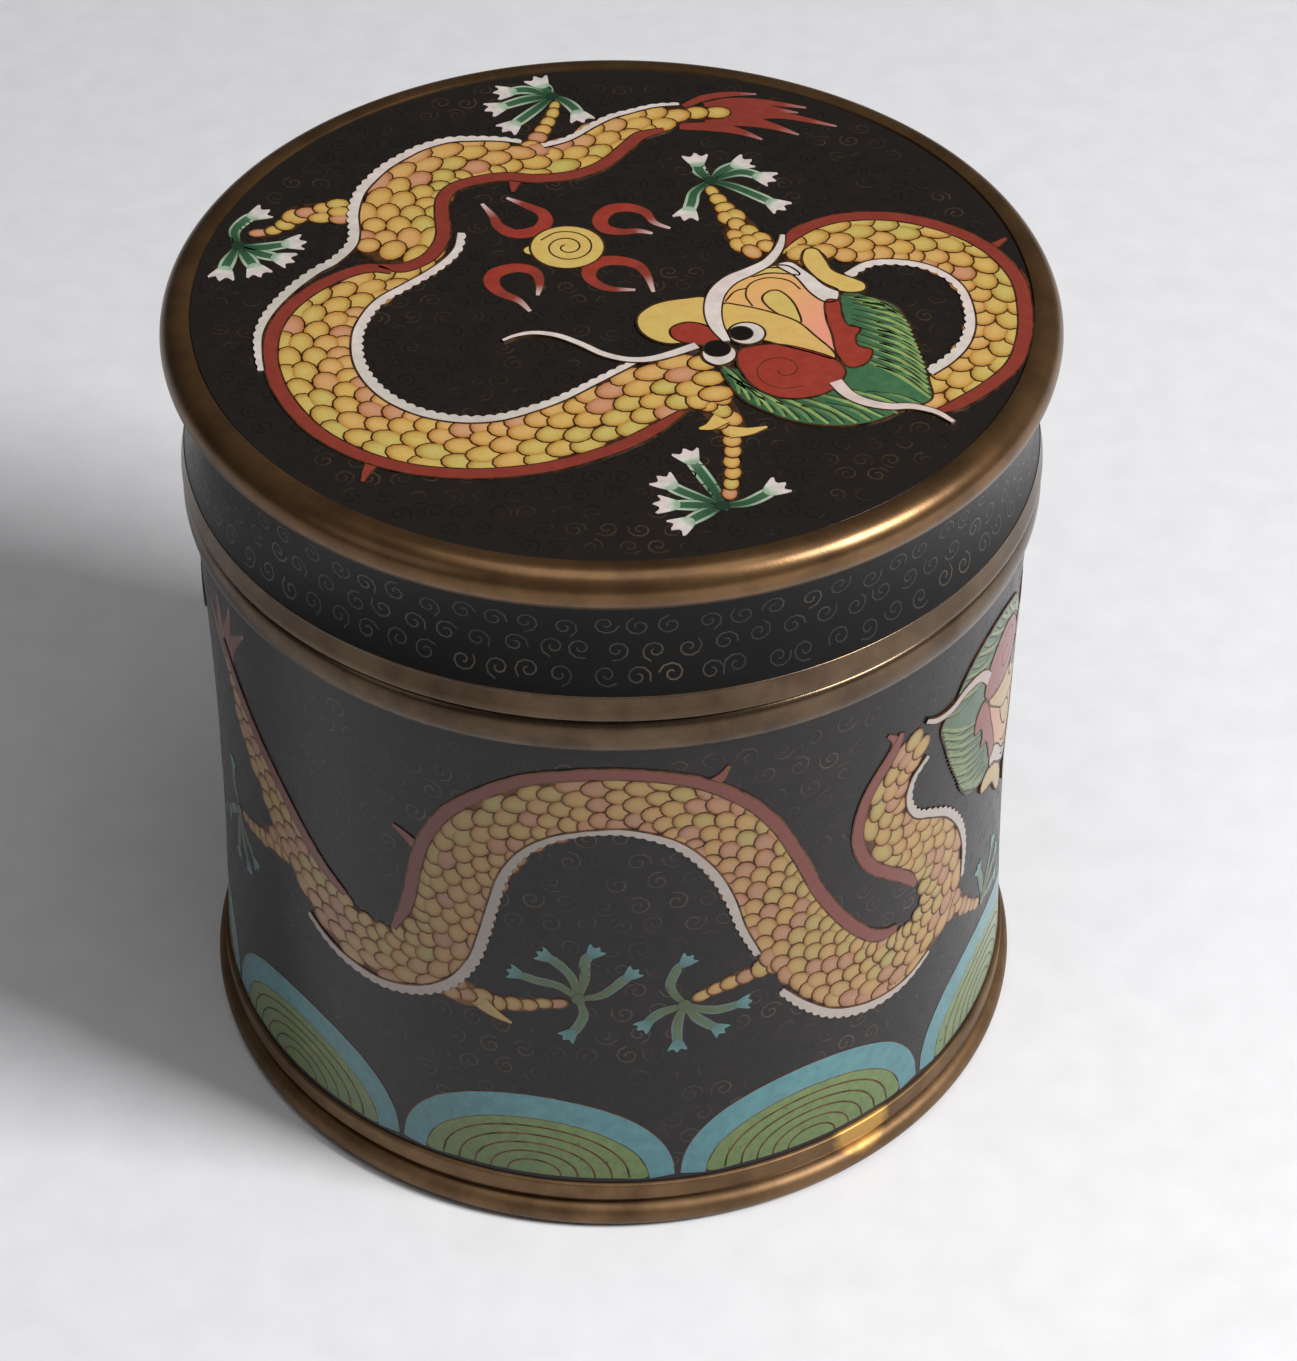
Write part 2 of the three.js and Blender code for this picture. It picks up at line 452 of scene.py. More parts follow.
# The two rings at the mouth get a darker, browner copy of the bronze and a lower roughness.
RING_BRONZE = TurnedBronze(
    "brown_gilt_bronze", gold="#62503C", brown="#483728", roughness=(0.2, 0.32))
FOOT_BRONZE = TurnedBronze(
    "gilt_bronze_foot", gold="#7A5E40", roughness=(0.42, 0.58), rub_place=(29.0, -38.5, 5.6),
    rub_size=3.8)
COUNTER = VitreousEnamel(
    "turquoise_counter_enamel", ((0.0, "#3F8F96"), (1.0, "#3F8F96")), cloud="#2A6A74", clouding=0.5,
    cloud_size=4.0, grain=0.8, pit_depth=0.03)


# Meshes


@dataclass
class Heap:
    """Faces of one piece, gathered part by part, with a shade and a lit share for each point; a
    lit share below 1 darkens a cell's colour as painted shade.
    """

    points: list[Array] = field(default_factory=list)
    faces: list[Array] = field(default_factory=list)
    shades: list[Array] = field(default_factory=list)
    lit_shares: list[Array] = field(default_factory=list)
    count: int = 0

    def add(self, points: Array, faces: list[Array], shade: Array, lit_share: Array) -> None:
        """Adds one part.

        Args:
            points: places in mm, any shape whose last axis is x, y, z.
            faces: arrays of corner numbers, one row a face.
            shade: one value a point, or one for all.
            lit_share: the same.
        """
        flat = points.reshape(-1, 3)
        self.points.append(flat)
        self.faces.extend(part + self.count for part in faces)
        self.shades.append(np.broadcast_to(shade, points.shape[:-1]).reshape(-1))
        self.lit_shares.append(np.broadcast_to(lit_share, points.shape[:-1]).reshape(-1))
        self.count += len(flat)

    def make(self, name: str, material: Material, crease: float) -> Object:
        """Makes the object, in metres, smooth but for edges sharper than the crease.

        Args:
            name: the piece's name.
            material: its finish.
            crease: the sharpest angle that is still smooth, degrees.

        Returns:
            The new object.
        """
        mesh = bpy.data.meshes.new(name)
        corners = [row for part in self.faces for row in part.tolist()]
        mesh.from_pydata(np.concatenate(self.points) * MM, [], corners)
        for label, values in (("shade", self.shades), ("lit_share", self.lit_shares)):
            layer = mesh.attributes.new(label, "FLOAT", "POINT")
            layer.data.foreach_set("value", np.concatenate(values).astype(np.float32))
        mesh.materials.append(material)
        mesh.shade_smooth()
        mesh.set_sharp_from_angle(angle=math.radians(crease))
        piece = bpy.data.objects.new(name, mesh)
        bpy.context.scene.collection.objects.link(piece)
        return piece


def swept(sections: Array, wrap: bool, ring: bool) -> list[Array]:
    """Joins sections of corner points into faces: corner k of section i meets its neighbours
    k + 1 and i + 1.

    Args:
        sections: an array of sections by corners by x, y, z, used for its shape.
        wrap: whether the last corner joins the first.
        ring: whether the last section joins the first; otherwise both ends get caps.

    Returns:
        Arrays of quads and, with open ends, of triangles.
    """
    count, corners = sections.shape[:2]
    number = np.arange(count * corners).reshape(count, corners)
    along = np.roll(number, -1, 0)
    across = np.roll(number, -1, 1)
    both = np.roll(along, -1, 1)
    quads = np.stack([number, across, both, along], -1)
    quads = quads[: count if ring else count - 1, : corners if wrap else corners - 1]
    faces = [quads.reshape(-1, 4)]
    if not ring:
        fan = np.arange(1, corners - 1)
        zero = np.zeros_like(fan)
        start = number[0][np.stack([zero, fan + 1, fan], -1)]
        end = number[-1][np.stack([zero, fan, fan + 1], -1)]
        faces += [start, end]
    return faces


def merge_poles(piece: Object) -> None:
    """Merges the points that meet on the axis, which closes the poles of a turned piece."""
    edit = bmesh.new()
    edit.from_mesh(piece.data)
    bmesh.ops.remove_doubles(edit, verts=edit.verts, dist=1e-7)
    edit.to_mesh(piece.data)
    edit.free()


def rounded(points: list[Triple], steps: int = 5) -> Array:
    """Rounds the corners of a profile.

    Each corner becomes a curve B(t) = (1-t)^2 P + 2t(1-t) C + t^2 Q, where C is the corner and
    P and Q lie its round's size away along the two sides that meet there.

    Args:
        points: radius, height and size of the round for each corner, in order round a loop.
        steps: spans in each rounded corner.

    Returns:
        The profile's radius and height pairs.
    """
    given = np.array(points, float)
    corner, size = given[:, :2], given[:, 2:]
    before = np.roll(corner, 1, 0) - corner
    after = np.roll(corner, -1, 0) - corner
    start = corner + before / np.linalg.norm(before, axis=1, keepdims=True) * size
    end = corner + after / np.linalg.norm(after, axis=1, keepdims=True) * size
    t = np.linspace(0, 1, steps + 1)[None, :, None]
    curve = (
        (1 - t) ** 2 * start[:, None] + 2 * t * (1 - t) * corner[:, None] + t**2 * end[:, None]
    )
    keep = [curve[i] if size[i, 0] > 0 else curve[i, :1] for i in range(len(given))]
    return np.concatenate(keep)


def half_round(radius: float, middle: float, reach: float, half: float, points: int,
               end: float = 90) -> Array:
    """Gives part of an ellipse, low to high: (radius - reach + reach cos a, middle + half sin a).

    Args:
        radius: its largest radius.
        middle: the height of that radius.
        reach: how far it stands out.
        half: half its height.
        points: how many points.
        end: the angle a at its upper end, degrees, which starts at -90.

    Returns:
        Radius and height pairs.
    """
    angle = np.linspace(-math.pi / 2, math.radians(end), points)
    return np.stack([radius - reach + reach * np.cos(angle), middle + half * np.sin(angle)], -1)


def turned(name: str, profile: Array, material: Material, segments: int = 256) -> Object:
    """Turns a profile about Z: P(angle, k) = (r_k cos angle, r_k sin angle, z_k).

    Args:
        name: the piece's name.
        profile: radius and height pairs, up the outside and down the inside, mm. It starts and
            ends on the axis, or else it closes on itself.
        material: the finish.
        segments: steps round the axis.

    Returns:
        The new object, closed, with its faces pointing out.
    """
    angle = np.arange(segments) * 2 * math.pi / segments
    radius, height = profile[::-1].T
    points = np.stack(
        [
            np.cos(angle)[:, None] * radius, np.sin(angle)[:, None] * radius,
            np.broadcast_to(height, (segments, len(height)))], -1)
    solid = profile[0][0] == 0
    heap = Heap()
    heap.add(points, swept(points, wrap=not solid, ring=True), 0.5, 1.0)
    piece = heap.make(name, material, TURNED_CREASE)
    if solid:
        merge_poles(piece)
        piece.data.set_sharp_from_angle(angle=math.radians(TURNED_CREASE))
    return piece


def dress(piece: Object, slot: Slot, *nodes: str) -> None:
    """Ties a piece to the body and hides the frame nodes that it stands for.

    Args:
        piece: the finished object.
        slot: the record's material slot; not used.
        nodes: the frame nodes that it replaces, if any.
    """
    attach(piece, BODY)
    if nodes:
        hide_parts(*nodes)
    log.info("%s: %d faces", piece.name, len(piece.data.polygons))


@dataclass(frozen=True)
class Girth:
    """Outer radius and levels of a turned frame node, mm."""

    radius: float
    bottom: float
    top: float

    @classmethod
    def of(cls, node: str) -> "Girth":
        """Reads them from the frame."""
        low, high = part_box(node)
        return cls(high.x / MM, low.z / MM, high.z / MM)


@dataclass(frozen=True)
class CovedSide:
    """A side that widens both ways from a waist by the square of the distance to it."""

    bottom: Pair
    waist: Pair
    top: Pair

    @classmethod
    def of(cls, node: str) -> "CovedSide":
        """Reads the hem, waist and brow of a turned frame node: the largest radius at its
        lowest and highest level, and the level where that radius is smallest."""
        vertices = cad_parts[node].data.vertices
        points = np.empty(len(vertices) * 3, np.float32)
        vertices.foreach_get("co", points)
        points = points.reshape(-1, 3) / MM
        radius = np.hypot(points[:, 0], points[:, 1])
        level = np.round(points[:, 2], 2)
        levels = np.unique(level)
        outer = np.array([radius[level == height].max() for height in levels])
        waist = int(np.argmin(outer))
        places = [(float(outer[i]), float(levels[i])) for i in (0, waist, -1)]
        return cls(*places)

    def radius(self, height: Array) -> Array:
        """Gives r = r_waist + (r_end - r_waist) * (distance to waist / reach)^2.

        Args:
            height: levels, mm.

        Returns:
            The radius at each level, mm.
        """
        low = (self.waist[1] - height) / (self.waist[1] - self.bottom[1])
        high = (height - self.waist[1]) / (self.top[1] - self.waist[1])
        below = self.waist[0] + (self.bottom[0] - self.waist[0]) * low**2
        above = self.waist[0] + (self.top[0] - self.waist[0]) * high**2
        return np.where(height < self.waist[1], below, above)


# The flat drawing and the two surfaces that it goes on


@dataclass(frozen=True)
class LidPlane:
    """The lid's flat top: x to the right, y away from the viewer."""

    level: float

    def place(self, x: Array, y: Array, lift: Array) -> Array:
        """Puts flat points at (x, y, level + lift)."""
        return np.stack(np.broadcast_arrays(x, y, self.level + lift), -1)


@dataclass(frozen=True)
class WallWrap:
    """The waisted wall: x is the arc from the front, to the right, and y is the height."""

    side: CovedSide
    girth_radius: float

    def place(self, x: Array, y: Array, lift: Array) -> Array:
        """Puts flat points at angle x / girth radius from the front, at the wall's radius at y
        plus the lift."""
        angle = x / self.girth_radius
        radius = self.side.radius(y) + lift
        return np.stack(np.broadcast_arrays(radius * np.sin(angle), -radius * np.cos(angle), y), -1)


Sheet = LidPlane | WallWrap


@dataclass(frozen=True)
class Pose:
    """A similarity that moves a drawing: scaled and turned about a local centre, then moved to
    a new centre."""

    centre: Pair = (0.0, 0.0)
    to: Pair = (0.0, 0.0)
    scale: float = 1.0
    turn: float = 0.0

    def apply(self, points: Array) -> Array:
        """Moves points whose first two columns are x and y; a third column, a width, is scaled.

        Args:
            points: rows of x, y and any further values.

        Returns:
            The moved rows.
        """
        moved = np.array(points, float)
        flat = (moved[:, :2] - self.centre) * self.scale
        cos, sin = math.cos(math.radians(self.turn)), math.sin(math.radians(self.turn))
        moved[:, 0] = flat[:, 0] * cos - flat[:, 1] * sin + self.to[0]
        moved[:, 1] = flat[:, 0] * sin + flat[:, 1] * cos + self.to[1]
        if moved.shape[1] > 2:
            moved[:, 2] *= self.scale
        return moved


def smooth_path(points: Array, step: float, closed: bool = False) -> Array:
    """Runs a Catmull-Rom curve through the points and resamples it to even steps.

    Between P1 and P2, with neighbours P0 and P3, C(t) = (2 P1 + (P2 - P0) t
    + (2 P0 - 5 P1 + 4 P2 - P3) t^2 + (3 P1 - P0 - 3 P2 + P3) t^3) / 2. Widths in further
    columns are carried along.

    Args:
        points: rows of x, y and any further values.
        step: about how far apart the new rows are, mm.
        closed: whether the last point joins the first.

    Returns:
        The new rows.
    """
    given = np.array(points, float)
    if closed:
        around = np.concatenate([given[-1:], given, given[:2]])
    else:
        first = 2 * given[:1] - given[1:2]
        last = 2 * given[-1:] - given[-2:-1]
        around = np.concatenate([first, given, last])
    before, here, there, after = around[:-3], around[1:-2], around[2:-1], around[3:]
    t = np.linspace(0, 1, 13)[:-1, None, None]
    curve = (
        2 * here
        + (there - before) * t
        + (2 * before - 5 * here + 4 * there - after) * t**2
        + (3 * here - before - 3 * there + after) * t**3
    ) / 2
    dense = curve.transpose(1, 0, 2).reshape(-1, given.shape[1])
    dense = np.concatenate([dense, given[:1] if closed else given[-1:]])
    reach = np.concatenate([[0], np.cumsum(np.linalg.norm(np.diff(dense[:, :2], axis=0), axis=1))])
    count = max(2, round(reach[-1] / step) + 1)
    even = np.linspace(0, reach[-1], count)
    rows = np.stack([np.interp(even, reach, column) for column in dense.T], -1)
    return rows[:-1] if closed else rows


def normals(path: Array, closed: bool = False) -> Array:
    """Gives the unit normal to the left of a path at each of its rows."""
    if closed:
        along = np.roll(path[:, :2], -1, 0) - np.roll(path[:, :2], 1, 0)
    else:
        along = np.gradient(path[:, :2], axis=0)
    along /= np.maximum(np.linalg.norm(along, axis=1, keepdims=True), 1e-9)
    return np.stack([-along[:, 1], along[:, 0]], -1)


class Cell(Enum):
    """What a cell of the picture is filled with."""

    WHITE = "white"
    RED = "red"
    SCALE = "scales"
    PEACH = "peach"
    GREEN = "green"
    CLAW = "claws"
    PUPIL = "pupils"
    WAVE_BLUE = "wave_crests"
    WAVE_GREEN = "wave_hollows"
    WIRE = "wires"
    CLOUD = "cloud_wires"


@dataclass
class Drawing:
    """A picture in wire and enamel on one surface, gathered into one piece for each filling.

    Levels are steps above the black ground, each a few thousandths of a millimetre. They only
    say which of two cells lies over the other.
    """

    sheet: Sheet
    pose: Pose = Pose()
    step: float = 0.006
    root: float = 0.12
    heaps: dict[Cell, Heap] = field(default_factory=dict)

    def posed(self, pose: Pose) -> "Drawing":
        """Gives the same drawing with what is drawn next moved by a pose."""
        return replace(self, pose=pose)

    def heap(self, cell: Cell) -> Heap:
        """Gives the gathered faces of one filling."""
        return self.heaps.setdefault(cell, Heap())

    def ribbon(self, cell: Cell, rows: Array, level: float, shade: Array | float = 0.5,
               left_wave: Array | float = 0.0, right_wave: Array | float = 0.0,
               closed: bool = False) -> None:
        """Lays a flat ribbon along a path: the path's normal times half the width gives its
        edges, and walls go down from them into the ground.

        Args:
            cell: its filling.
            rows: x, y and width along the path, already placed.
            level: the level of its top.
            shade: the shade along it, one value or one a row.
            left_wave: how far the left edge swells outwards, one value or one a row.
            right_wave: the same on the right.
            closed: whether the ribbon joins its own start.
        """
        normal = normals(rows, closed)
        half = rows[:, 2:3] / 2
        left = rows[:, :2] + normal * (half + np.reshape(left_wave, (-1, 1)))
        right = rows[:, :2] - normal * (half + np.reshape(right_wave, (-1, 1)))
        flat = np.stack([left, (left + right) / 2, right, right, left], 1)
        lift = np.array([level * self.step] * 3 + [-self.root] * 2)
        points = self.sheet.place(flat[..., 0], flat[..., 1], lift[None, :])
        shades = np.broadcast_to(np.reshape(shade, (-1, 1)), points.shape[:-1])
        faces = swept(points, wrap=True, ring=closed)
        self.heap(cell).add(points, faces, shades, 1.0)

    def stroke(self, cell: Cell, points: Points, level: float,
               shades: tuple[float, ...] = (0.5, 0.5), fence: float = 0.0,
               step: float = 0.4) -> None:
        """Draws a stroke through points of x, y and width, with a wire along both its sides.

        Args:
            cell: its filling.
            points: x, y and width of each point.
            level: its level.
            shades: the shade at even shares of its length, from its start to its end.
            fence: the width of the wire that shows beside it, mm.
            step: the length of its facets, mm.
        """
        rows = smooth_path(self.pose.apply(points), step)
        share = np.linspace(0, 1, len(rows))
        shade = np.interp(share, np.linspace(0, 1, len(shades)), shades)
        self.ribbon(cell, rows, level, shade)
        if fence:
            wider = rows + np.array([0, 0, 2 * fence])
            self.ribbon(Cell.WIRE, wider, level - 1)

    def wire(self, points: Points, level: float, width: float = 0.26) -> None:
        """Draws one wire through points of x and y."""
        flat = np.array(points, float)[:, :2]
        rows = smooth_path(self.pose.apply(flat), 0.35)
        rows = np.column_stack([rows, np.full(len(rows), width)])
        self.ribbon(Cell.WIRE, rows, level)

    def patch(self, cell: Cell, outline: Points, level: float, shade: Pair = (0.5, 0.5),
              along: tuple[Pair, Pair] | None = None, fence: float = 0.26,
              mesh_size: float = 1.0) -> None:
        """Fills a smooth closed outline, triangulated over a grid of inner points so that it
        follows a curved wall.

        Args:
            cell: its filling.
            outline: x and y of the outline's points, anticlockwise or not.
            level: its level.
            shade: the shade at the first and the second end of the line below.
            along: two points; the shade grows from one to the other.
            fence: the width of the wire round it, or 0.
            mesh_size: spacing of the inner points, mm.
        """
        border = smooth_path(self.pose.apply(np.array(outline, float)[:, :2]), 0.4, closed=True)
        inner = interior_points(border, mesh_size)
        flat = np.concatenate([border, inner])
        edges = [(i, (i + 1) % len(border)) for i in range(len(border))]
        spots = [Vector(spot) for spot in flat.tolist()]
        found = delaunay_2d_cdt(spots, edges, [], 1, 1e-7)
        flat = np.array([tuple(spot) for spot in found[0]])
        triangles = facing_up(flat, np.array(found[2]))
        shades = self.graded(flat, shade, along)
        count = len(flat)
        top = self.sheet.place(flat[:, 0], flat[:, 1], level * self.step)
        base = self.sheet.place(flat[:, 0], flat[:, 1], -self.root)
        rim = border_edges(triangles)
        wall = np.stack([rim[:, 0], rim[:, 0] + count, rim[:, 1] + count, rim[:, 1]], -1)
        under = triangles[:, ::-1] + count
        points = np.concatenate([top, base])
        self.heap(cell).add(points, [triangles, under, wall], np.tile(shades, 2), 1.0)
        if fence:
            self.wire_loop(border, level + 1, fence)

    def wire_loop(self, border: Array, level: float, width: float) -> None:
        """Lays a closed wire along placed points."""
        rows = np.column_stack([border, np.full(len(border), width)])
        self.ribbon(Cell.WIRE, rows, level, closed=True)

    def graded(self, flat: Array, shade: Pair, along: tuple[Pair, Pair] | None) -> Array:
        """Gives each point its shade by how far it lies along a line, held to the line's ends."""
        if along is None:
            return np.full(len(flat), shade[0])
        start, end = self.pose.apply(np.array(along, float))
        axis = end - start
        share = np.clip((flat - start) @ axis / (axis @ axis), 0, 1)
        return shade[0] + (shade[1] - shade[0]) * share

    def discs(self, cell: Cell, centres: Array, heading: Array, size: Array, level: float,
              tilt: float, shade: Array, dome: float = 1.5) -> None:
        """Lays many rounded cells at once, each a copy of one template of rings.

        A template point at share s of the radius and angle a goes to
        (s * length * cos a, s * breadth * sin a), turned to its heading, and its height falls by
        the tilt towards the heading, so each cell lies over the one behind it.

        Args:
            cell: their filling.
            centres: rows of x and y, placed.
            heading: the angle of each, radians.
            size: rows of half length and half breadth, mm.
            level: their level in the middle.
            tilt: how far the trailing edge stands above the middle, in levels.
            shade: the shade of each.
            dome: how far the middle stands above the rim, in levels.
        """
        around = np.arange(SCALE_POINTS) * 2 * math.pi / SCALE_POINTS
        share = np.concatenate([[0.0], np.full(SCALE_POINTS, 0.62), np.ones(2 * SCALE_POINTS)])
        angle = np.concatenate([[0.0], around, around, around])
        u, v = share * np.cos(angle), share * np.sin(angle)
        along = u * size[:, :1]
        across = v * size[:, 1:]
        cos, sin = np.cos(heading)[:, None], np.sin(heading)[:, None]
        x = centres[:, :1] + along * cos - across * sin
        y = centres[:, 1:2] + along * sin + across * cos
        lift = (level - tilt * u + dome * (1 - share**2)) * self.step
        lift[..., -SCALE_POINTS:] = -self.root
        points = self.sheet.place(x, y, np.broadcast_to(lift, x.shape))
        # The lit share falls from 1 in the middle to 0 at the rim, which paints a shade towards the
        # wire.
        lit_share = np.concatenate([[1.0], np.full(SCALE_POINTS, 0.75), np.zeros(2 * SCALE_POINTS)])
        faces = disc_faces()
        offset = np.arange(len(centres))[:, None, None] * len(share)
        parts = [(part[None] + offset).reshape(-1, part.shape[1]) for part in faces]
        shades = np.broadcast_to(shade[:, None], x.shape)
        self.heap(cell).add(points, parts, shades, np.broadcast_to(lit_share, x.shape))

    def make(self, name: str, slot: Slot, finishes: dict[Cell, Material]) -> None:
        """Makes one piece for each filling used.

        Args:
            name: how the pieces' names begin.
            slot: the slot of the enamel cells.
            finishes: the material of each filling.
        """
        for cell, heap in self.heaps.items():
            piece = heap.make(f"{name}_{cell.value}", finishes[cell], CELL_CREASE)
            is_wire = cell in (Cell.WIRE, Cell.CLOUD)
            dress(piece, Slot.BRONZE if is_wire else slot)


def disc_faces() -> list[Array]:
    """Lists the faces of one rounded cell: a fan, two bands and a base fan."""
    number = np.arange(SCALE_POINTS)
    after = (number + 1) % SCALE_POINTS
    inner, outer, base = 1, 1 + SCALE_POINTS, 1 + 2 * SCALE_POINTS
    fan = np.stack([np.zeros_like(number), inner + number, inner + after], -1)
    band = np.stack([inner + number, outer + number, outer + after, inner + after], -1)
    wall = np.stack([outer + number, base + number, base + after, outer + after], -1)
    spread = np.arange(1, SCALE_POINTS - 1)
    under = np.stack([np.full_like(spread, base), base + spread + 1, base + spread], -1)
    return [fan, band, wall, under]


def interior_points(border: Array, spacing: float) -> Array:
    """Gives staggered grid points inside an outline and clear of it.

    A point is inside where a ray to its right crosses the outline an odd number of times.
    """
    low, high = border.min(0), border.max(0)
    xs = np.arange(low[0], high[0], spacing)
    ys = np.arange(low[1], high[1], spacing * 0.87)
    x, y = np.meshgrid(xs, ys)
    x = x + (np.arange(len(ys)) % 2)[:, None] * spacing / 2
    spots = np.stack([x.ravel(), y.ravel()], -1)
    start, end = border, np.roll(border, -1, 0)
    px, py = spots[:, :1], spots[:, 1:]
    spans = (start[:, 1] > py) != (end[:, 1] > py)
    rise = np.where(end[:, 1] == start[:, 1], 1e-9, end[:, 1] - start[:, 1])
    cross = start[:, 0] + (py - start[:, 1]) * (end[:, 0] - start[:, 0]) / rise
    inside = (spans & (px < cross)).sum(1) % 2 == 1
    gap = np.linalg.norm(spots[:, None] - border[None], axis=2).min(1)
    return spots[inside & (gap > spacing * 0.45)]


def facing_up(flat: Array, triangles: Array) -> Array:
    """Turns each triangle anticlockwise, so that its face points away from the ground."""
    a, b, c = (flat[triangles[:, k]] for k in range(3))
    area = (b[:, 0] - a[:, 0]) * (c[:, 1] - a[:, 1]) - (b[:, 1] - a[:, 1]) * (c[:, 0] - a[:, 0])
    return np.where((area < 0)[:, None], triangles[:, ::-1], triangles)


def border_edges(triangles: Array) -> Array:
    """Gives the directed edges that only one triangle uses."""
    edges = np.concatenate([triangles[:, [0, 1]], triangles[:, [1, 2]], triangles[:, [2, 0]]])
    size = int(triangles.max()) + 1
    key = edges[:, 0] * size + edges[:, 1]
    back = edges[:, 1] * size + edges[:, 0]
    return edges[~np.isin(key, back)]


# Turned pieces of the box


@dataclass
class FootRing:
    """The bronze foot: a half-round bead on the table, a groove and a flat moulding, with a
    ledge inside on which the cup stands."""

    bead_tube: float = 1.6
    moulding_step: float = 1.0
    groove_depth: float = 0.6
    groove_height: float = 0.9
    ease: float = 0.4
    bore: float = 45.3
    seat: float = 47.35
    ledge: float = 2.72

    def profile(self) -> Array:
        """Gives the ring's section: a half circle, then straight steps with rounded edges."""
        size = Girth.of("foot_ring")
        tube = self.bead_tube
        bead = half_round(size.radius, tube, tube, tube, 17)
        moulding = size.radius - self.moulding_step
        groove = moulding - self.groove_depth
        low = 2 * tube + self.groove_height * 0.2
        rest = rounded(
            [
                (groove, low, 0.12), (groove, 2 * tube + self.groove_height * 0.75, 0.12),
                (moulding, 2 * tube + self.groove_height, 0.18), (moulding, size.top, self.ease),
                (self.seat, size.top, 0.08), (self.seat, self.ledge, 0.1),
                (self.bore, self.ledge, 0.2), (self.bore, size.bottom, 0.3)])
        return np.concatenate([bead, rest])

    def build(self) -> Object:
        """Turns the ring."""
        return turned("foot_ring_turned", self.profile(), FOOT_BRONZE.material())


@dataclass
class CopperCup:
    """The copper body with floor, waisted wall, thick mouth and the collar inside the lid."""

    metal: float = 0.8
    gap: float = 0.3
    enamel: float = 1.0
    collar_bore: float = 44.2
    collar_radius: float = 45.0
    lap: float = 5.0
    chamfer: float = 2.0

    def profile(self, side: CovedSide) -> Array:
        """Gives the section: floor, outer wall r(z) set in from the enamel, collar, and down
        the inside.

        Args:
            side: the outer face of the enamel that the wall carries.

        Returns:
            Radius and height pairs from the axis to the axis.
        """
        size = Girth.of("cup")
        mouth = Girth.of("mouth_ring").top
        inset = self.enamel + self.gap
        low, high = side.bottom[1], side.top[1]
        height = np.linspace(low, high, 40)
        wall = np.stack([side.radius(height) - inset, height], -1)
        lap_bottom = high + self.gap - self.lap
        inner_top = lap_bottom - self.chamfer
        inner_height = np.linspace(inner_top, size.bottom + 4.5, 36)
        inner_radius = side.radius(np.maximum(inner_height, low)) - inset - self.metal
        inner_wall = np.stack([inner_radius, inner_height], -1)
        foot, shoulder = wall[0, 0], wall[-1, 0]
        floor = size.bottom + self.metal
        return np.concatenate(
            [
                [(0, size.bottom), (foot - 0.5, size.bottom), (foot, size.bottom + 0.5)], wall,
                [(shoulder, mouth - 0.1), (shoulder - 0.1, mouth), (self.collar_radius, mouth)],
                [(self.collar_radius, size.top - 0.3), (self.collar_radius - 0.3, size.top)],
                [(self.collar_bore + 0.3, size.top), (self.collar_bore, size.top - 0.3)],
                [(self.collar_bore, lap_bottom)], inner_wall,
                [(inner_radius[-1] - 0.2, floor + 0.3), (inner_radius[-1] - 0.9, floor)],
                [(0, floor)]])

    def build(self, side: CovedSide) -> Object:
        """Turns the cup."""
        return turned("copper_cup", self.profile(side), COUNTER.material(), segments=192)


@dataclass
class BodyEnamel:
    """The black glass on the body's side, from the foot to the mouth ring."""

    thickness: float = 1.0
    joint: float = 0.28

    def profile(self, side: CovedSide) -> Array:
        """Gives the section: the waisted face and a parallel back, closed over the joints
        towards the rings."""
        low, high = side.bottom[1] - self.joint, side.top[1] + self.joint
        height = np.linspace(low, high, 60)
        radius = side.radius(height)
        face = np.stack([radius, height], -1)
        back = np.stack([radius - self.thickness, height], -1)[::-1]
        return np.concatenate([face, back])

    def build(self, side: CovedSide) -> Object:
        """Turns the enamel coat."""
        return turned("body_enamel_coat", self.profile(side), SIDE_BLACK.material(), 320)


@dataclass
class MouthRing:
    """The half-round bronze ring at the body's mouth."""

    bore: float = 47.0
    reach: float = 0.8

    def profile(self) -> Array:
        """Gives the section: a half ellipse outside and a straight bore."""
        size = Girth.of("mouth_ring")
        middle = (size.bottom + size.top) / 2
        half = (size.top - size.bottom) / 2
        face = half_round(size.radius, middle, self.reach, half, 25)
        return np.concatenate([face, [(self.bore, size.top), (self.bore, size.bottom)]])

    def build(self) -> Object:
        """Turns the ring."""
        return turned("mouth_ring_turned", self.profile(), RING_BRONZE.material())


@dataclass
class LidRing:
    """The bronze ring at the lid's lower edge: rounded below, a sloped face and a thin lip."""

    bore: float = 46.5
    slope: float = 0.4
    lip: float = 0.35

    def profile(self) -> Array:
        """Gives the section with its edges rounded."""
        size = Girth.of("lid_ring")
        brow = size.radius - self.slope
        return rounded(
            [
                (self.bore, size.bottom, 0.1), (size.radius, size.bottom, 0.55),
                (size.radius, size.bottom + 0.9, 0.25), (brow - 0.12, size.top - self.lip, 0.15),
                (brow, size.top - self.lip * 0.5, 0.12), (brow - 0.05, size.top, 0.14),
                (self.bore, size.top, 0.1)], steps=6)

    def build(self) -> Object:
        """Turns the ring."""
        return turned("lid_ring_turned", self.profile(), RING_BRONZE.material())


@dataclass
class LidShell:
    """The copper lid under its enamel: a flat plate with a skirt over the collar."""

    plate: float = 0.8
    wall: float = 0.8

    def profile(self) -> Array:
        """Gives the section from the axis to the axis."""
        size = Girth.of("lid_shell")
        bore = size.radius - self.wall
        return np.array(
            [
                (0, size.top - self.plate), (bore - 0.6, size.top - self.plate),
                (bore, size.top - self.plate - 0.6), (bore, size.bottom + 0.2),
                (bore + 0.2, size.bottom), (size.radius - 0.2, size.bottom),
                (size.radius, size.bottom + 0.2), (size.radius, size.top - 0.2),
                (size.radius - 0.2, size.top), (0, size.top)])

    def build(self) -> Object:
        """Turns the shell."""
        return turned("copper_lid", self.profile(), COUNTER.material(), segments=192)


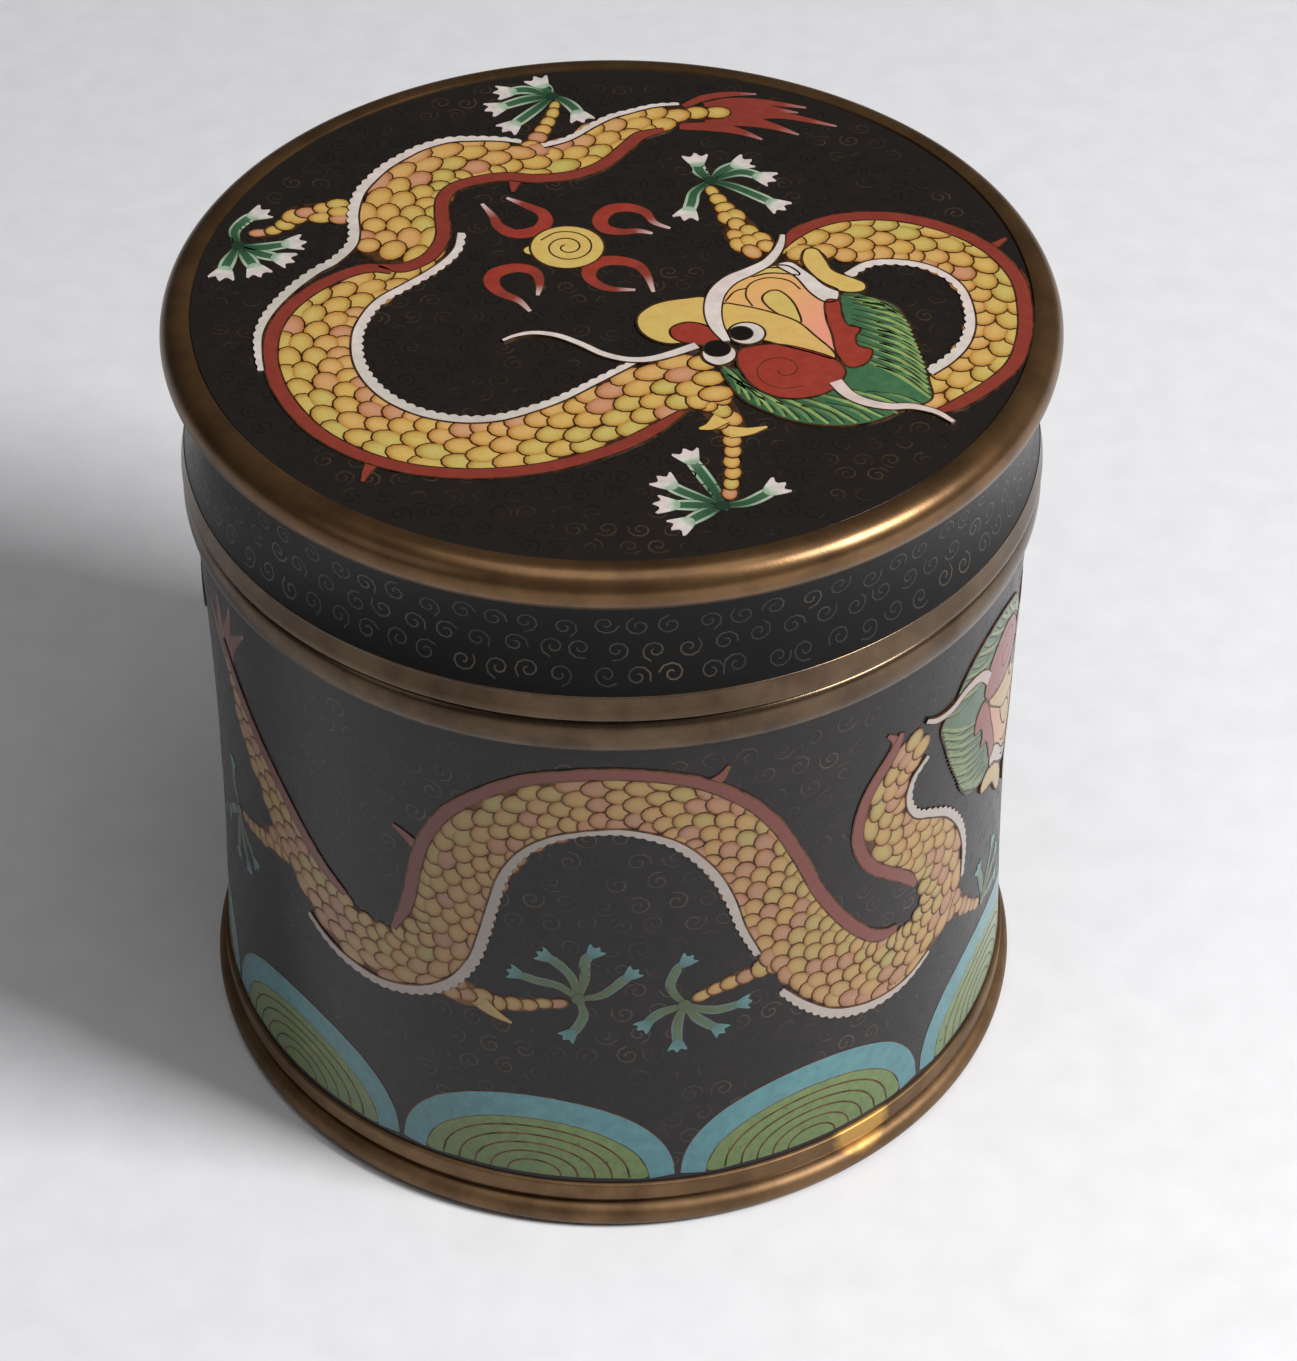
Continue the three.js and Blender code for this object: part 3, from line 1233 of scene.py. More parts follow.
@dataclass
class LidSideEnamel:
    """The coved band of black glass on the lid's side."""

    bore: float = 46.5
    joint: float = 0.28

    def profile(self, side: CovedSide) -> Array:
        """Gives the section: the coved face and a straight back."""
        low, high = side.bottom[1] - self.joint, side.top[1] + self.joint
        height = np.linspace(low, high, 32)
        face = np.stack([side.radius(height), height], -1)
        return np.concatenate([face, [(self.bore, high), (self.bore, low)]])

    def build(self, side: CovedSide) -> Object:
        """Turns the enamel band."""
        return turned("lid_side_enamel_coat", self.profile(side), BAND_BLACK.material(), 320)


@dataclass
class LidBead:
    """The round bronze bead that frames the lid's top."""

    bore: float = 46.5
    tube: float = 2.6
    end: float = 106.2

    def profile(self) -> Array:
        """Gives the section: a half circle outside, a short rounded inner shoulder."""
        size = Girth.of("lid_bead")
        middle = (size.bottom + size.top) / 2
        face = half_round(size.radius, middle, self.tube, self.tube, 33, self.end)
        drop = face[-1, 1] - 0.4
        return np.concatenate([face, [(self.bore, drop), (self.bore, size.bottom)]])

    def build(self) -> Object:
        """Turns the bead."""
        return turned("lid_bead_turned", self.profile(), BRONZE.material(), 320)


@dataclass
class LidTopEnamel:
    """The flat panel of black glass on top of the lid."""

    bore_of_bead: float = 46.5

    def profile(self) -> Array:
        """Gives the section: a disc whose rim reaches the bead."""
        size = Girth.of("lid_top_enamel")
        radius = self.bore_of_bead - 0.02
        return np.array(
            [
                (0, size.bottom), (radius, size.bottom), (radius, size.top - 0.015),
                (radius - 0.015, size.top), (radius * 0.75, size.top), (radius * 0.5, size.top),
                (radius * 0.25, size.top), (0, size.top)])

    def build(self) -> Object:
        """Turns the panel."""
        return turned("lid_top_enamel_coat", self.profile(), TOP_BLACK.material(), 256)


# The pictures


def tapered(points: Points, widths: tuple[float, ...]) -> Array:
    """Adds a width to each point of a line, spread evenly through the given widths."""
    flat = np.array(points, float)
    share = np.linspace(0, 1, len(flat))
    return np.column_stack([flat, np.interp(share, np.linspace(0, 1, len(widths)), widths)])


@dataclass(frozen=True)
class Paw:
    """A clawed foot: green toes that spread from a palm, each ending in a pale hoof."""

    palm: Pair
    toes: tuple[Points, ...]
    breadth: float = 1.75

    def draw(self, drawing: Drawing, level: float) -> None:
        """Draws the toes from the palm out, each with a three-pointed tip."""
        for number, toe in enumerate(self.toes):
            line = tapered((self.palm, *toe), (0.6, self.breadth, 0.8 * self.breadth))
            drawing.stroke(Cell.CLAW, line, level + number, (0.3, 0.7, 0.78), fence=0.08)
            inner = line * np.array([1, 1, 0.6])
            drawing.stroke(Cell.CLAW, inner, level + 4.5, (0.05, 0.3, 0.6))
            self.tip(drawing, np.array((self.palm, *toe)[-2:], float), level + 6 + number)
        drawing.patch(Cell.CLAW, circle(self.palm, 0.8), level + 12, (0.0, 0.0), fence=0.0)

    def tip(self, drawing: Drawing, end: Array, level: float) -> None:
        """Draws a hoof at the end of a toe: a bud whose three points face onwards."""
        onward = end[1] - end[0]
        onward /= np.linalg.norm(onward)
        side = np.array([-onward[1], onward[0]])
        bud = np.array(TIP_BUD) * self.breadth / 1.5
        outline = end[1] + bud[:, :1] * onward + bud[:, 1:] * side
        spread = (tuple(end[1] - onward * 0.8), tuple(end[1] + onward * 0.6))
        drawing.patch(Cell.CLAW, outline, level, (0.7, 1.0), spread, fence=0.0, mesh_size=0.8)


TIP_BUD = (
    (-1.1, -0.45), (-0.1, -1.0), (0.9, -1.35), (0.55, -0.6), (1.3, -0.1), (0.6, 0.45), (1.0, 1.3),
    (-0.1, 1.0), (-1.1, 0.45))


def circle(centre: Pair, radius: float, points: int = 12) -> Array:
    """Gives points round a circle, anticlockwise."""
    angle = np.arange(points) * 2 * math.pi / points
    return np.array(centre) + radius * np.stack([np.cos(angle), np.sin(angle)], -1)


def spiral(centre: Pair, inner: float, outer: float, turns: float, start: float = 0.0) -> Array:
    """Gives points on the spiral r = inner + (outer - inner) * share, with the angle growing
    evenly through the turns."""
    share = np.linspace(0, 1, max(6, round(turns * 9)))
    angle = math.radians(start) + share * turns * 2 * math.pi
    radius = inner + (outer - inner) * share
    return np.array(centre) + radius[:, None] * np.stack([np.cos(angle), np.sin(angle)], -1)


@dataclass
class ScaleCoat:
    """Overlapping scales in staggered columns across a body."""

    pitch: float = 2.45
    spread: float = 2.85
    half_length: float = 1.82
    half_breadth: float = 1.4
    wire: float = 0.2
    tilt: float = 4.5
    narrow: float = 3.3
    inset: float = 0.95
    blush: float = 0.07

    def draw(self, drawing: Drawing, spine: Points, level: float, belly: int,
             rng: np.random.Generator) -> None:
        """Covers a body from tail to head.

        A scale in column i and row k lies at C(s_i) + N(s_i) v, with s_i = (i + 1/2) pitch
        along the spine and v = (k + 1/2 on odd columns) spread across it. Near the body's
        edge v is held to half the width less the inset, and such scales lie under the others.

        Args:
            drawing: the picture to draw in.
            spine: x, y and width along the middle of the body, tail first.
            level: the scales' level.
            belly: 1 where the belly is on the left of the spine, -1 on the right, 0 on neither.
            rng: the source of small differences.
        """
        path = smooth_path(drawing.pose.apply(np.array(spine, float)), 0.2)
        drawing.ribbon(Cell.WIRE, path + np.array([0, 0, 0.2]), level - self.tilt - 2)
        scale = drawing.pose.scale
        pitch = self.pitch * scale
        reach = np.arange(len(path)) * np.linalg.norm(np.diff(path[:, :2], axis=0), axis=1).mean()
        stops = np.arange(pitch * 0.4, reach[-1], pitch)
        normal = normals(path)
        angle = np.unwrap(np.arctan2(-normal[:, 0], normal[:, 1]))
        bend = np.gradient(angle, reach)
        x, y, width, heading, curve = (
            np.interp(stops, reach, column) for column in (*path.T, angle, bend)
        )
        wide = width > self.narrow * scale
        odd = (np.arange(len(stops)) % 2) * 0.5 * wide
        row = np.arange(-4, 5)
        across = (row[None, :] + odd[:, None]) * self.spread * scale
        limit = width / 2 - self.inset * scale
        near = np.abs(across) < limit[:, None] + 0.45 * self.spread * scale
        kept = near & (wide[:, None] | (row == 0)[None, :])
        column = np.nonzero(kept)[0]
        edge = np.where(wide[column], limit[column], 0)
        sunk = (np.abs(across[kept]) > edge) * 1.5
        v = np.clip(across[kept], -edge, edge)
        count = len(v)
        v = v + rng.normal(0, 0.07, count)
        heads = heading[column]
        centres = np.stack([x[column] - np.sin(heads) * v, y[column] + np.cos(heads) * v], -1)
        along = np.stack([np.cos(heads), np.sin(heads)], -1)
        centres = centres + along * rng.normal(0, 0.08, (count, 1))
        stretch = np.clip(1 - curve[column] * v, 0.62, 1.35)
        breadth = np.where(wide[column], self.half_breadth * scale, width[column] / 2)
        length = np.where(wide[column], self.half_length * scale, pitch * 0.62)
        size = np.stack([length * stretch, breadth], -1) * rng.normal(1, 0.035, (count, 1))
        toward_belly = np.clip(0.5 + belly * v / np.maximum(width[column], 1), 0, 1)
        shade = np.clip(0.1 + 0.55 * toward_belly**1.5 + rng.normal(0, 0.15, count), 0, 1)
        shade = np.where(rng.random(count) < self.blush * (0.4 + 1.4 * toward_belly), 0.9, shade)
        lift = level - sunk[:, None] + rng.normal(0, 0.2, (count, 1))
        heads = heads + rng.normal(0, 0.06, count)
        drawing.discs(Cell.WIRE, centres, heads, size + self.wire, lift - 1.2, self.tilt, shade, 0)
        drawing.discs(Cell.SCALE, centres, heads, size, lift, self.tilt, shade)


@dataclass(frozen=True)
class Frill:
    """The white belly edge: a band whose outer side swells into small lobes."""

    line: Points
    outer: int
    widths: tuple[float, ...] = (0.8, 1.35, 0.8)
    lobe: float = 1.3
    swell: float = 0.32
    step: float = 0.16

    def draw(self, drawing: Drawing, level: float) -> None:
        """Draws the band and the wire on its inner side. The outer edge stands out by
        swell * |sin(pi s / lobe)| at distance s along it."""
        rows = smooth_path(drawing.pose.apply(tapered(self.line, self.widths)), self.step)
        reach = np.arange(len(rows)) * self.step
        wave = self.swell * np.abs(np.sin(math.pi * reach / self.lobe)) * np.clip(rows[:, 2], 0, 1)
        left, right = (wave, 0.0) if self.outer > 0 else (0.0, wave)
        shade = 0.35 + 0.3 * np.sin(reach / 9.0)
        drawing.ribbon(Cell.WHITE, rows, level, shade, left, right)
        fence = np.full(len(rows), 0.24)
        rim = np.full(len(rows), 0.05)
        left, right = (rim + wave, fence) if self.outer > 0 else (fence, rim + wave)
        drawing.ribbon(Cell.WIRE, rows, level - 1.2, 0.5, left, right)


@dataclass(frozen=True)
class DragonPlan:
    """The lines of one dragon, in mm on the surface that it decorates.

    spines hold x, y and width from the tail to the head with the side on which the belly
    lies. crests are the red ribbon of the back, spurs its single thorns, and barbs the golden
    thorns where a limb joins the body.
    """

    spines: tuple[tuple[Points, int], ...]
    frills: tuple[Frill, ...]
    crests: tuple[Points, ...]
    spurs: tuple[Points, ...]
    limbs: tuple[Points, ...]
    paws: tuple[Paw, ...]
    flames: tuple[Points, ...]
    barbs: tuple[Points, ...] = ()
    crest_width: float = 1.5

    def draw(self, drawing: Drawing, coat: ScaleCoat, rng: np.random.Generator) -> None:
        """Draws tail flame, limbs, scaled body, belly frill and crest, from below up."""
        for number, flame in enumerate(self.flames):
            drawing.stroke(Cell.RED, flame, 3 + number * 0.6, shades=(0.38, 0.42, 0.75), fence=0.1)
        small = replace(
            coat, pitch=1.8, spread=1.95, half_length=1.3, half_breadth=1.02, narrow=2.7, inset=0.9)
        for limb in self.limbs:
            small.draw(drawing, limb, 8, 0, rng)
        for paw in self.paws:
            paw.draw(drawing, 2)
        for spine, belly in self.spines:
            coat.draw(drawing, spine, 15, belly, rng)
        for barb in self.barbs:
            drawing.stroke(Cell.SCALE, tapered(barb, (2.0, 1.2, 0.3)), 12, (0.3, 0.3), fence=0.14)
        for spur in self.spurs:
            drawing.stroke(Cell.RED, tapered(spur, (1.5, 0.9, 0.3)), 19, fence=0.12)
        for crest in self.crests:
            count = len(crest)
            widths = (0.6, *(self.crest_width,) * max(2, count - 2), 0.6)
            drawing.stroke(Cell.RED, tapered(crest, widths), 22, shades=(0.4, 0.36), fence=0.2)
        for frill in self.frills:
            frill.draw(drawing, 24)


LID_DRAGON = DragonPlan(
    spines=(
        (
            (
                (13.4, 36.9, 2.0), (11.2, 36.8, 2.6), (8.4, 36.5, 3.0), (5.6, 35.6, 5.0),
                (2.6, 34.3, 5.4), (0.2, 32.2, 6.6), (-2.6, 29.6, 7.0), (-6.3, 26.9, 6.6),
                (-9.2, 26.5, 7.0), (-12, 27.2, 7.6), (-15.6, 27, 8.4), (-19.3, 25.6, 9.2),
                (-22.2, 22.6, 9.6), (-23.9, 18.2, 9.8), (-24.1, 13, 9.8), (-24.4, 9.7, 9.4),
                (-25.6, 6.4, 8.6)), -1),
        (
            (
                (-19.2, 8.6, 1.4), (-21.3, 5.6, 2.6), (-24.6, 3.0, 4.6), (-28.2, 0.4, 6.8),
                (-31, -3, 8), (-32.3, -7, 8.4), (-32.3, -11.2, 8.6), (-31.2, -15.2, 8.6),
                (-29.3, -18.9, 8.6), (-26.3, -22.3, 8.8), (-22.4, -25.3, 8.8), (-18, -27.1, 8.8),
                (-13, -27.4, 8.8), (-8.6, -26.2, 8.8), (-4.2, -24, 8.8), (0, -21.2, 9.2),
                (3.6, -18.4, 9.6), (7.2, -16.4, 9.6), (10.5, -15.5, 8.0)), 1),
        (
            (
                (33.9, -20.2, 2.6), (36, -17.6, 5.2), (38.3, -14.7, 6.2), (40.6, -11, 6.4),
                (42, -6.5, 6.4), (42.3, -1.5, 6.6), (41.1, 3.5, 7.2), (38.4, 7.4, 8.0),
                (34.8, 9.9, 8.4), (30.5, 10.8, 8.6), (26, 10.6, 8.0), (22.4, 9.2, 6.4),
                (19.4, 6.6, 4.0)), 1)),
    frills=(
        Frill(
            ((8, 38.7), (5, 38.3), (2, 37), (0, 36), (-2, 34.3), (-5, 31.3), (-8, 29.8)), -1,
            (0.45, 0.7, 0.7)),
        Frill(
            (
                (-10.5, 30.6), (-13, 31.2), (-16, 31.3), (-19, 31), (-22, 29.5), (-24, 27.7),
                (-26, 25.5), (-27.5, 23), (-28.8, 20), (-29.3, 16), (-29, 12), (-29.3, 9.5),
                (-31, 6.5), (-33, 4.5), (-35.5, 1), (-37.5, -3), (-38.5, -7), (-38.3, -11),
                (-37.8, -14)), -1,
            (0.6, 0.9, 1.0, 1.0, 0.95, 0.5)),
        Frill(
            (
                (-17, 12), (-17.3, 9), (-18.5, 6.5), (-20.5, 4), (-23, 1.5), (-25.5, -1), (-27, -4),
                (-27.8, -7.5), (-27.5, -12), (-26, -16), (-23.5, -19.3), (-20, -21.7), (-16, -22.8),
                (-12, -22.5), (-8, -20.7), (-5, -18.8), (-2, -16.3), (1, -13.8), (2.5, -12.5)), 1,
            (0.75, 0.85, 0.95, 1.05, 0.95, 0.8, 0.65)),
        Frill(
            (
                (26.2, 3.6), (28.5, 5.7), (31, 6.2), (34, 5.7), (36.5, 4.2), (38.5, 1.5),
                (39.3, -2), (39.3, -6), (38.3, -9.5), (36.5, -12.3), (34.2, -14.6)), -1,
            (0.95, 0.8, 0.75, 0.95, 1.05))),
    crests=(
        (
            (6.2, 33.2), (3.5, 32), (2, 30), (0, 27), (-2, 25), (-5, 23.5), (-9, 23), (-12, 23.4),
            (-15, 22.8), (-18, 21.3), (-19.2, 19), (-19.3, 16), (-19, 12), (-19.6, 9), (-21, 6.7),
            (-23.4, 5.2), (-26, 5.6)),
        (
            (-24.5, 4.4), (-26.8, 5.2), (-29.4, 4.2), (-32.8, 1.4), (-35.3, -2), (-36.8, -6),
            (-37.1, -10), (-36.6, -14), (-34.9, -19), (-31.5, -24.5), (-27, -28.5), (-22, -31),
            (-17, -32), (-12, -32), (-6, -30.8), (0, -28), (4, -25), (7.5, -21.5)),
        (
            (18.8, 8.6), (20.5, 11.5), (23, 13.6), (26, 14.9), (30, 15.3), (34, 14.6), (38, 12.7),
            (41.5, 9.8), (44, 6), (45.3, 2), (45.5, -3), (45, -8), (43.5, -13), (40.5, -17),
            (37, -20.2), (34.6, -21.6))),
    spurs=(
        ((-11, 22.8), (-11.2, 21.6), (-11.3, 20.3)), ((-25, -30), (-25.6, -31.6), (-26, -33.4)),
        ((41.9, 8.6), (43.2, 9.5), (44.5, 10.8)), ((45, 4.4), (45.7, 3), (46.2, 1.2))),
    barbs=(((12.4, -25), (14.4, -24.9), (16.4, -24.1)), ((11.6, -22.6), (10.4, -24), (9.2, -24.4))),
    limbs=(
        ((-6.6, 39.2, 1.2), (-7.1, 36.5, 1.5), (-7.9, 33.5, 1.9), (-8.9, 31, 2.4), (-9.6, 29, 2.4)),
        (
            (-40.6, 12, 1.4), (-38.3, 12.6, 1.8), (-36.4, 14.4, 2.6), (-35.3, 16.2, 3.2),
            (-32.8, 16.2, 4.2), (-30, 16.6, 5)),
        (
            (11.3, 21, 1.2), (12.4, 18.2, 2.0), (13.6, 15.2, 3.0), (14.6, 12.4, 4.2),
            (16.2, 9.4, 4.6), (17.6, 7.4, 3.4)),
        (
            (12.1, -36.2, 1.6), (12.4, -33, 1.7), (12.6, -29.5, 1.7), (12.6, -26.4, 2.0),
            (12.4, -24.2, 3.4), (11.6, -21.4, 3.6), (10.4, -19, 4.4))),
    paws=(
        Paw(
            (-7, 40.5),
            (
                ((-7.8, 42.2), (-8.6, 43.6)), ((-10, 42), (-12.6, 41.5)),
                ((-10, 39.9), (-13.6, 38)), ((-8.6, 38.2), (-10.4, 35.8), (-11.8, 34)),
                ((-5.6, 39.6), (-4.4, 38), (-3.7, 36.2)))),
        Paw(
            (-42, 9.7),
            (
                ((-42.6, 12.6), (-41.4, 15), (-40.1, 16)), ((-39.6, 9.3), (-35.8, 10.2)),
                ((-39.6, 8.2), (-36.8, 7.1)), ((-40.6, 7), (-39.6, 4.9)),
                ((-42.9, 6.6), (-43.3, 4.3)))),
        Paw(
            (11.4, 22.6),
            (
                ((10.2, 24.6), (9.8, 26.9)), ((13, 24.8), (15, 26.2)), ((14.8, 24.4), (17.6, 23.2)),
                ((14, 21.4), (17, 19.2), (18.8, 17.6)), ((9.6, 20.4), (9.1, 18), (8.6, 15.9)))),
        Paw(
            (11.4, -37.5),
            (
                ((10.6, -35), (9.3, -32), (8, -29.2)), ((9, -36.2), (6.8, -34.8), (5.6, -33.6)),
                ((8.6, -37.4), (5.6, -37.3)), ((9.4, -38.8), (7.2, -40.6)),
                ((13.8, -37), (15.6, -35.8), (16.9, -34.6))))),
    flames=(
        ((8.5, 38.4, 0.8), (11, 40.2, 1.2), (14, 41, 1.0), (17.2, 41, 0.3)),
        ((11, 38.6, 1.0), (14, 39.4, 1.5), (18, 39.2, 1.2), (23, 38, 0.3)),
        ((12, 37, 2.4), (15, 38.3, 2.6), (18, 38, 1.4), (22, 36.9, 0.3)),
        ((13, 35.8, 2.4), (16, 36.6, 2.8), (20, 36.4, 1.5), (26.4, 34, 0.3)),
        ((11, 35, 1.8), (15, 35.4, 2.6), (18.5, 34.2, 1.4), (21.9, 32.2, 0.3)),
        ((8, 34, 1.2), (12, 33.9, 1.8), (15, 32.9, 1.2), (17.6, 31.2, 0.3))))


SIDE_DRAGON = DragonPlan(
    spines=(
        (
            (
                (-54.5, 62.5, 2.0), (-52.6, 58, 3.4), (-49.6, 53.4, 4.8), (-46, 49.6, 6.0),
                (-42, 45.4, 7.2), (-38, 40.8, 7.8), (-33, 37, 8.4), (-28, 35.7, 8.6),
                (-23, 37.5, 8.8), (-19.6, 42, 8.8), (-18, 48, 9.0), (-16, 55, 9.2), (-12, 61, 8.6),
                (-6, 65, 8.0), (0, 66.2, 8.2), (6, 65.2, 8.6), (11, 61.8, 9.0), (15, 56, 9.2),
                (18, 49, 9.4), (21, 42, 9.4), (25, 35.7, 9.2), (30, 31, 9.2), (36, 29.2, 9.0),
                (41, 30.6, 8.8), (44.3, 35.2, 8.8), (43.2, 41, 8.4), (39.2, 45.8, 7.6),
                (34.6, 50, 6.8), (32.8, 54.6, 6.0), (34.4, 59.4, 5.2), (38, 62.8, 4.0)), -1),),
    frills=(
        Frill(
            (
                (-39.5, 34.8), (-36.5, 32.8), (-33, 31.5), (-28, 31), (-23, 32.4), (-19, 35.2),
                (-16.2, 39.5), (-14.8, 44), (-13.6, 49), (-12.2, 54), (-9.8, 58), (-6.5, 60.6),
                (-3, 61.8)), -1,
            (0.5, 0.9, 1.1, 1.1, 0.85, 0.5)),
        Frill(
            (
                (-3, 61.8), (1, 62), (5, 60.7), (8, 58.5), (11, 54.5), (13, 50), (14.5, 45),
                (16.5, 40.3)), -1,
            (0.5, 0.75, 0.9, 0.9, 0.6)),
        Frill(
            ((19.5, 33.5), (22.5, 30), (26, 27), (30, 25.2), (34, 24.5), (38, 24.8), (42, 26.4)),
            -1, (0.7, 1.0, 1.05, 0.75, 0.4)),
        Frill(
            (
                (49, 33), (49, 38), (47.5, 42.5), (44.5, 46.5), (41, 49), (38, 51), (36.5, 54),
                (37, 57), (39.3, 59)), -1,
            (0.6, 0.9, 0.9, 0.8, 0.5))),
    crests=(
        (
            (-55.5, 65), (-51.6, 60), (-47.4, 55.6), (-43, 51.2), (-39.6, 47.4), (-36.4, 44.2),
            (-33, 42)),
        (
            (-26.2, 40.6), (-24.1, 45.6), (-22.9, 51.4), (-21.4, 56.6), (-18.6, 61.6),
            (-13.6, 66.4), (-8, 69.5), (0, 70.7), (8, 69.1), (14, 65), (18, 60), (21, 54), (24, 47),
            (27.5, 41), (31, 36.7), (33.6, 34.9), (35.8, 34.7)),
        (
            (38.7, 39.4), (37.2, 41.6), (34.6, 43.9), (31.3, 47), (29.2, 51), (28.9, 55),
            (30.2, 59.2), (33, 63), (34.4, 65.6))),
    spurs=(
        ((-21.8, 54.4), (-23.8, 56), (-25.4, 57)), ((10.2, 68), (11.6, 69), (12.4, 70.4)),
        ((33.2, 63), (33.4, 65), (32.2, 66.4))),
    barbs=(((-15.2, 33.2), (-13.6, 32), (-11.7, 31)),),
    limbs=(
        (
            (-5.6, 35.2, 1.3), (-8.4, 34.6, 1.6), (-11.6, 34, 2.0), (-14.6, 33.8, 2.6),
            (-17.4, 34.2, 3.8), (-20.4, 35.6, 5.0)),
        ((9.4, 35.4, 1.5), (12, 36.4, 1.7), (15, 37.4, 2.0), (18, 38.2, 3.0), (21, 39, 4.0)),
        (
            (-54.6, 38.6, 1.4), (-51.6, 39, 1.9), (-48.6, 39.8, 2.6), (-45.4, 41.4, 4.4),
            (-42, 43.6, 5.0)),
        ((54.6, 23.6, 1.4), (52, 25.6, 1.8), (49.2, 28, 3.0), (46.4, 30.4, 4.4), (43.6, 33, 5.0))),
    paws=(
        Paw(
            (-4, 36),
            (
                ((-3.3, 39), (-3.2, 42), (-2.2, 43.4)), ((-1.2, 36.8), (1, 39), (2, 40)),
                ((-4.8, 39.4), (-6.6, 41.6), (-7.8, 42.3)), ((-6.2, 37.8), (-9, 38.4), (-11.2, 39)),
                ((-3.4, 33.6), (-4.2, 31.4), (-5.1, 30.2))), breadth=1.3),
        Paw(
            (8, 34.5),
            (
                ((6.4, 37.4), (7, 40), (8.2, 41.4)), ((5.2, 33.6), (3.4, 31.8)),
                ((7.2, 31.6), (7.2, 28.2)), ((9.6, 32), (12, 29.8)), ((11.4, 33), (14.9, 33.2))),
            breadth=1.3),
        Paw(
            (-56, 38),
            (
                ((-54.6, 35.6), (-51.6, 33.2)), ((-55.4, 34), (-53.8, 30.6)),
                ((-57, 33.8), (-57.4, 30.2)), ((-58.8, 36), (-61, 33.8)),
                ((-57.6, 41), (-57.4, 44.4))), breadth=1.3),
        Paw(
            (56.2, 23),
            (
                ((58, 25.6), (60.2, 29)), ((59.2, 24.4), (62.6, 25.6)),
                ((59.4, 22.2), (62.4, 21.6)), ((55.6, 26.4), (54.4, 29.4))), breadth=1.3)),
    flames=(
        ((-54, 62, 1.6), (-53, 65.6, 1.8), (-50.6, 68.4, 1.0), (-48.6, 70.4, 0.3)),
        ((-54.4, 62, 2.0), (-54.2, 66, 2.2), (-52.8, 69.4, 1.2), (-51.8, 72.4, 0.3)),
        ((-55, 62, 2.0), (-56, 66, 2.2), (-55.8, 69.4, 1.2), (-56, 72, 0.3)),
        ((-55.4, 61.6, 1.6), (-57.6, 64.6, 1.6), (-58.8, 67.4, 0.9), (-60.4, 69.6, 0.3))),
    crest_width=1.4)


# Edges of the mane where its locks end: behind the head, and below it
MANE_BACK = ((29.6, -1.6), (32.2, -5), (33, -9), (33.7, -13), (34, -19.2))
MANE_FOOT = ((33, -20.6), (29.2, -22.4), (25, -23.7), (20.6, -23.3), (17.2, -21.8), (13.6, -18.4))

SIDE_HEAD = Pose(centre=(36.2, -23.5), to=(38.3, 64.9), turn=-164)


@dataclass(frozen=True)
class WaveRow:
    """Half-oval waves along the wall's foot: a blue crest round a green hollow with wires."""

    count: int = 9
    first: float = -9.3
    foot: float = 7.3
    breadth: float = 16.6
    height: float = 12.5
    crest: float = 3.6
    rings: int = 6

    def draw(self, drawing: Drawing, level: float) -> None:
        """Draws the waves round the whole wall, evenly spaced along its girth."""
        for number in range(self.count):
            middle = (self.first + number * GIRTH / self.count + GIRTH / 2) % GIRTH - GIRTH / 2
            self.wave(drawing, middle, level)

    def wave(self, drawing: Drawing, middle: float, level: float) -> None:
        """Draws one wave: half ellipses about the middle of its foot, each narrower inside."""
        inset = self.crest / 2
        line = self.half_oval(middle, self.breadth - inset, self.height - inset)
        widths = (0.8 * self.crest, self.crest, self.crest, self.crest, 0.8 * self.crest)
        drawing.stroke(Cell.WAVE_BLUE, tapered(line, widths), level + 2, (0.2, 0.8, 0.2), 0.12, 0.8)
        hollow = self.half_oval(middle, self.breadth - self.crest, self.height - self.crest)
        base = [(x, self.foot) for x in np.linspace(hollow[-1][0], hollow[0][0], 8)[1:-1]]
        drawing.patch(
            Cell.WAVE_GREEN, (*hollow, *base), level, (0.2, 0.8),
            ((middle, self.foot), (middle, self.foot + self.height)), fence=0.0, mesh_size=1.6)
        for ring in range(1, self.rings):
            share = 1 - ring / (self.rings + 0.6)
            drawing.wire(
                self.half_oval(
                    middle, (self.breadth - self.crest) * share,
                    (self.height - self.crest) * share), level + 1, 0.24)

    def half_oval(self, middle: float, breadth: float, height: float) -> Points:
        """Gives points on the upper half of an ellipse that stands on the waves' foot."""
        angle = np.linspace(0, math.pi, 13)
        x = middle + breadth * np.cos(angle)
        y = self.foot + height * np.sin(angle)
        return tuple(zip(x.tolist(), y.tolist()))


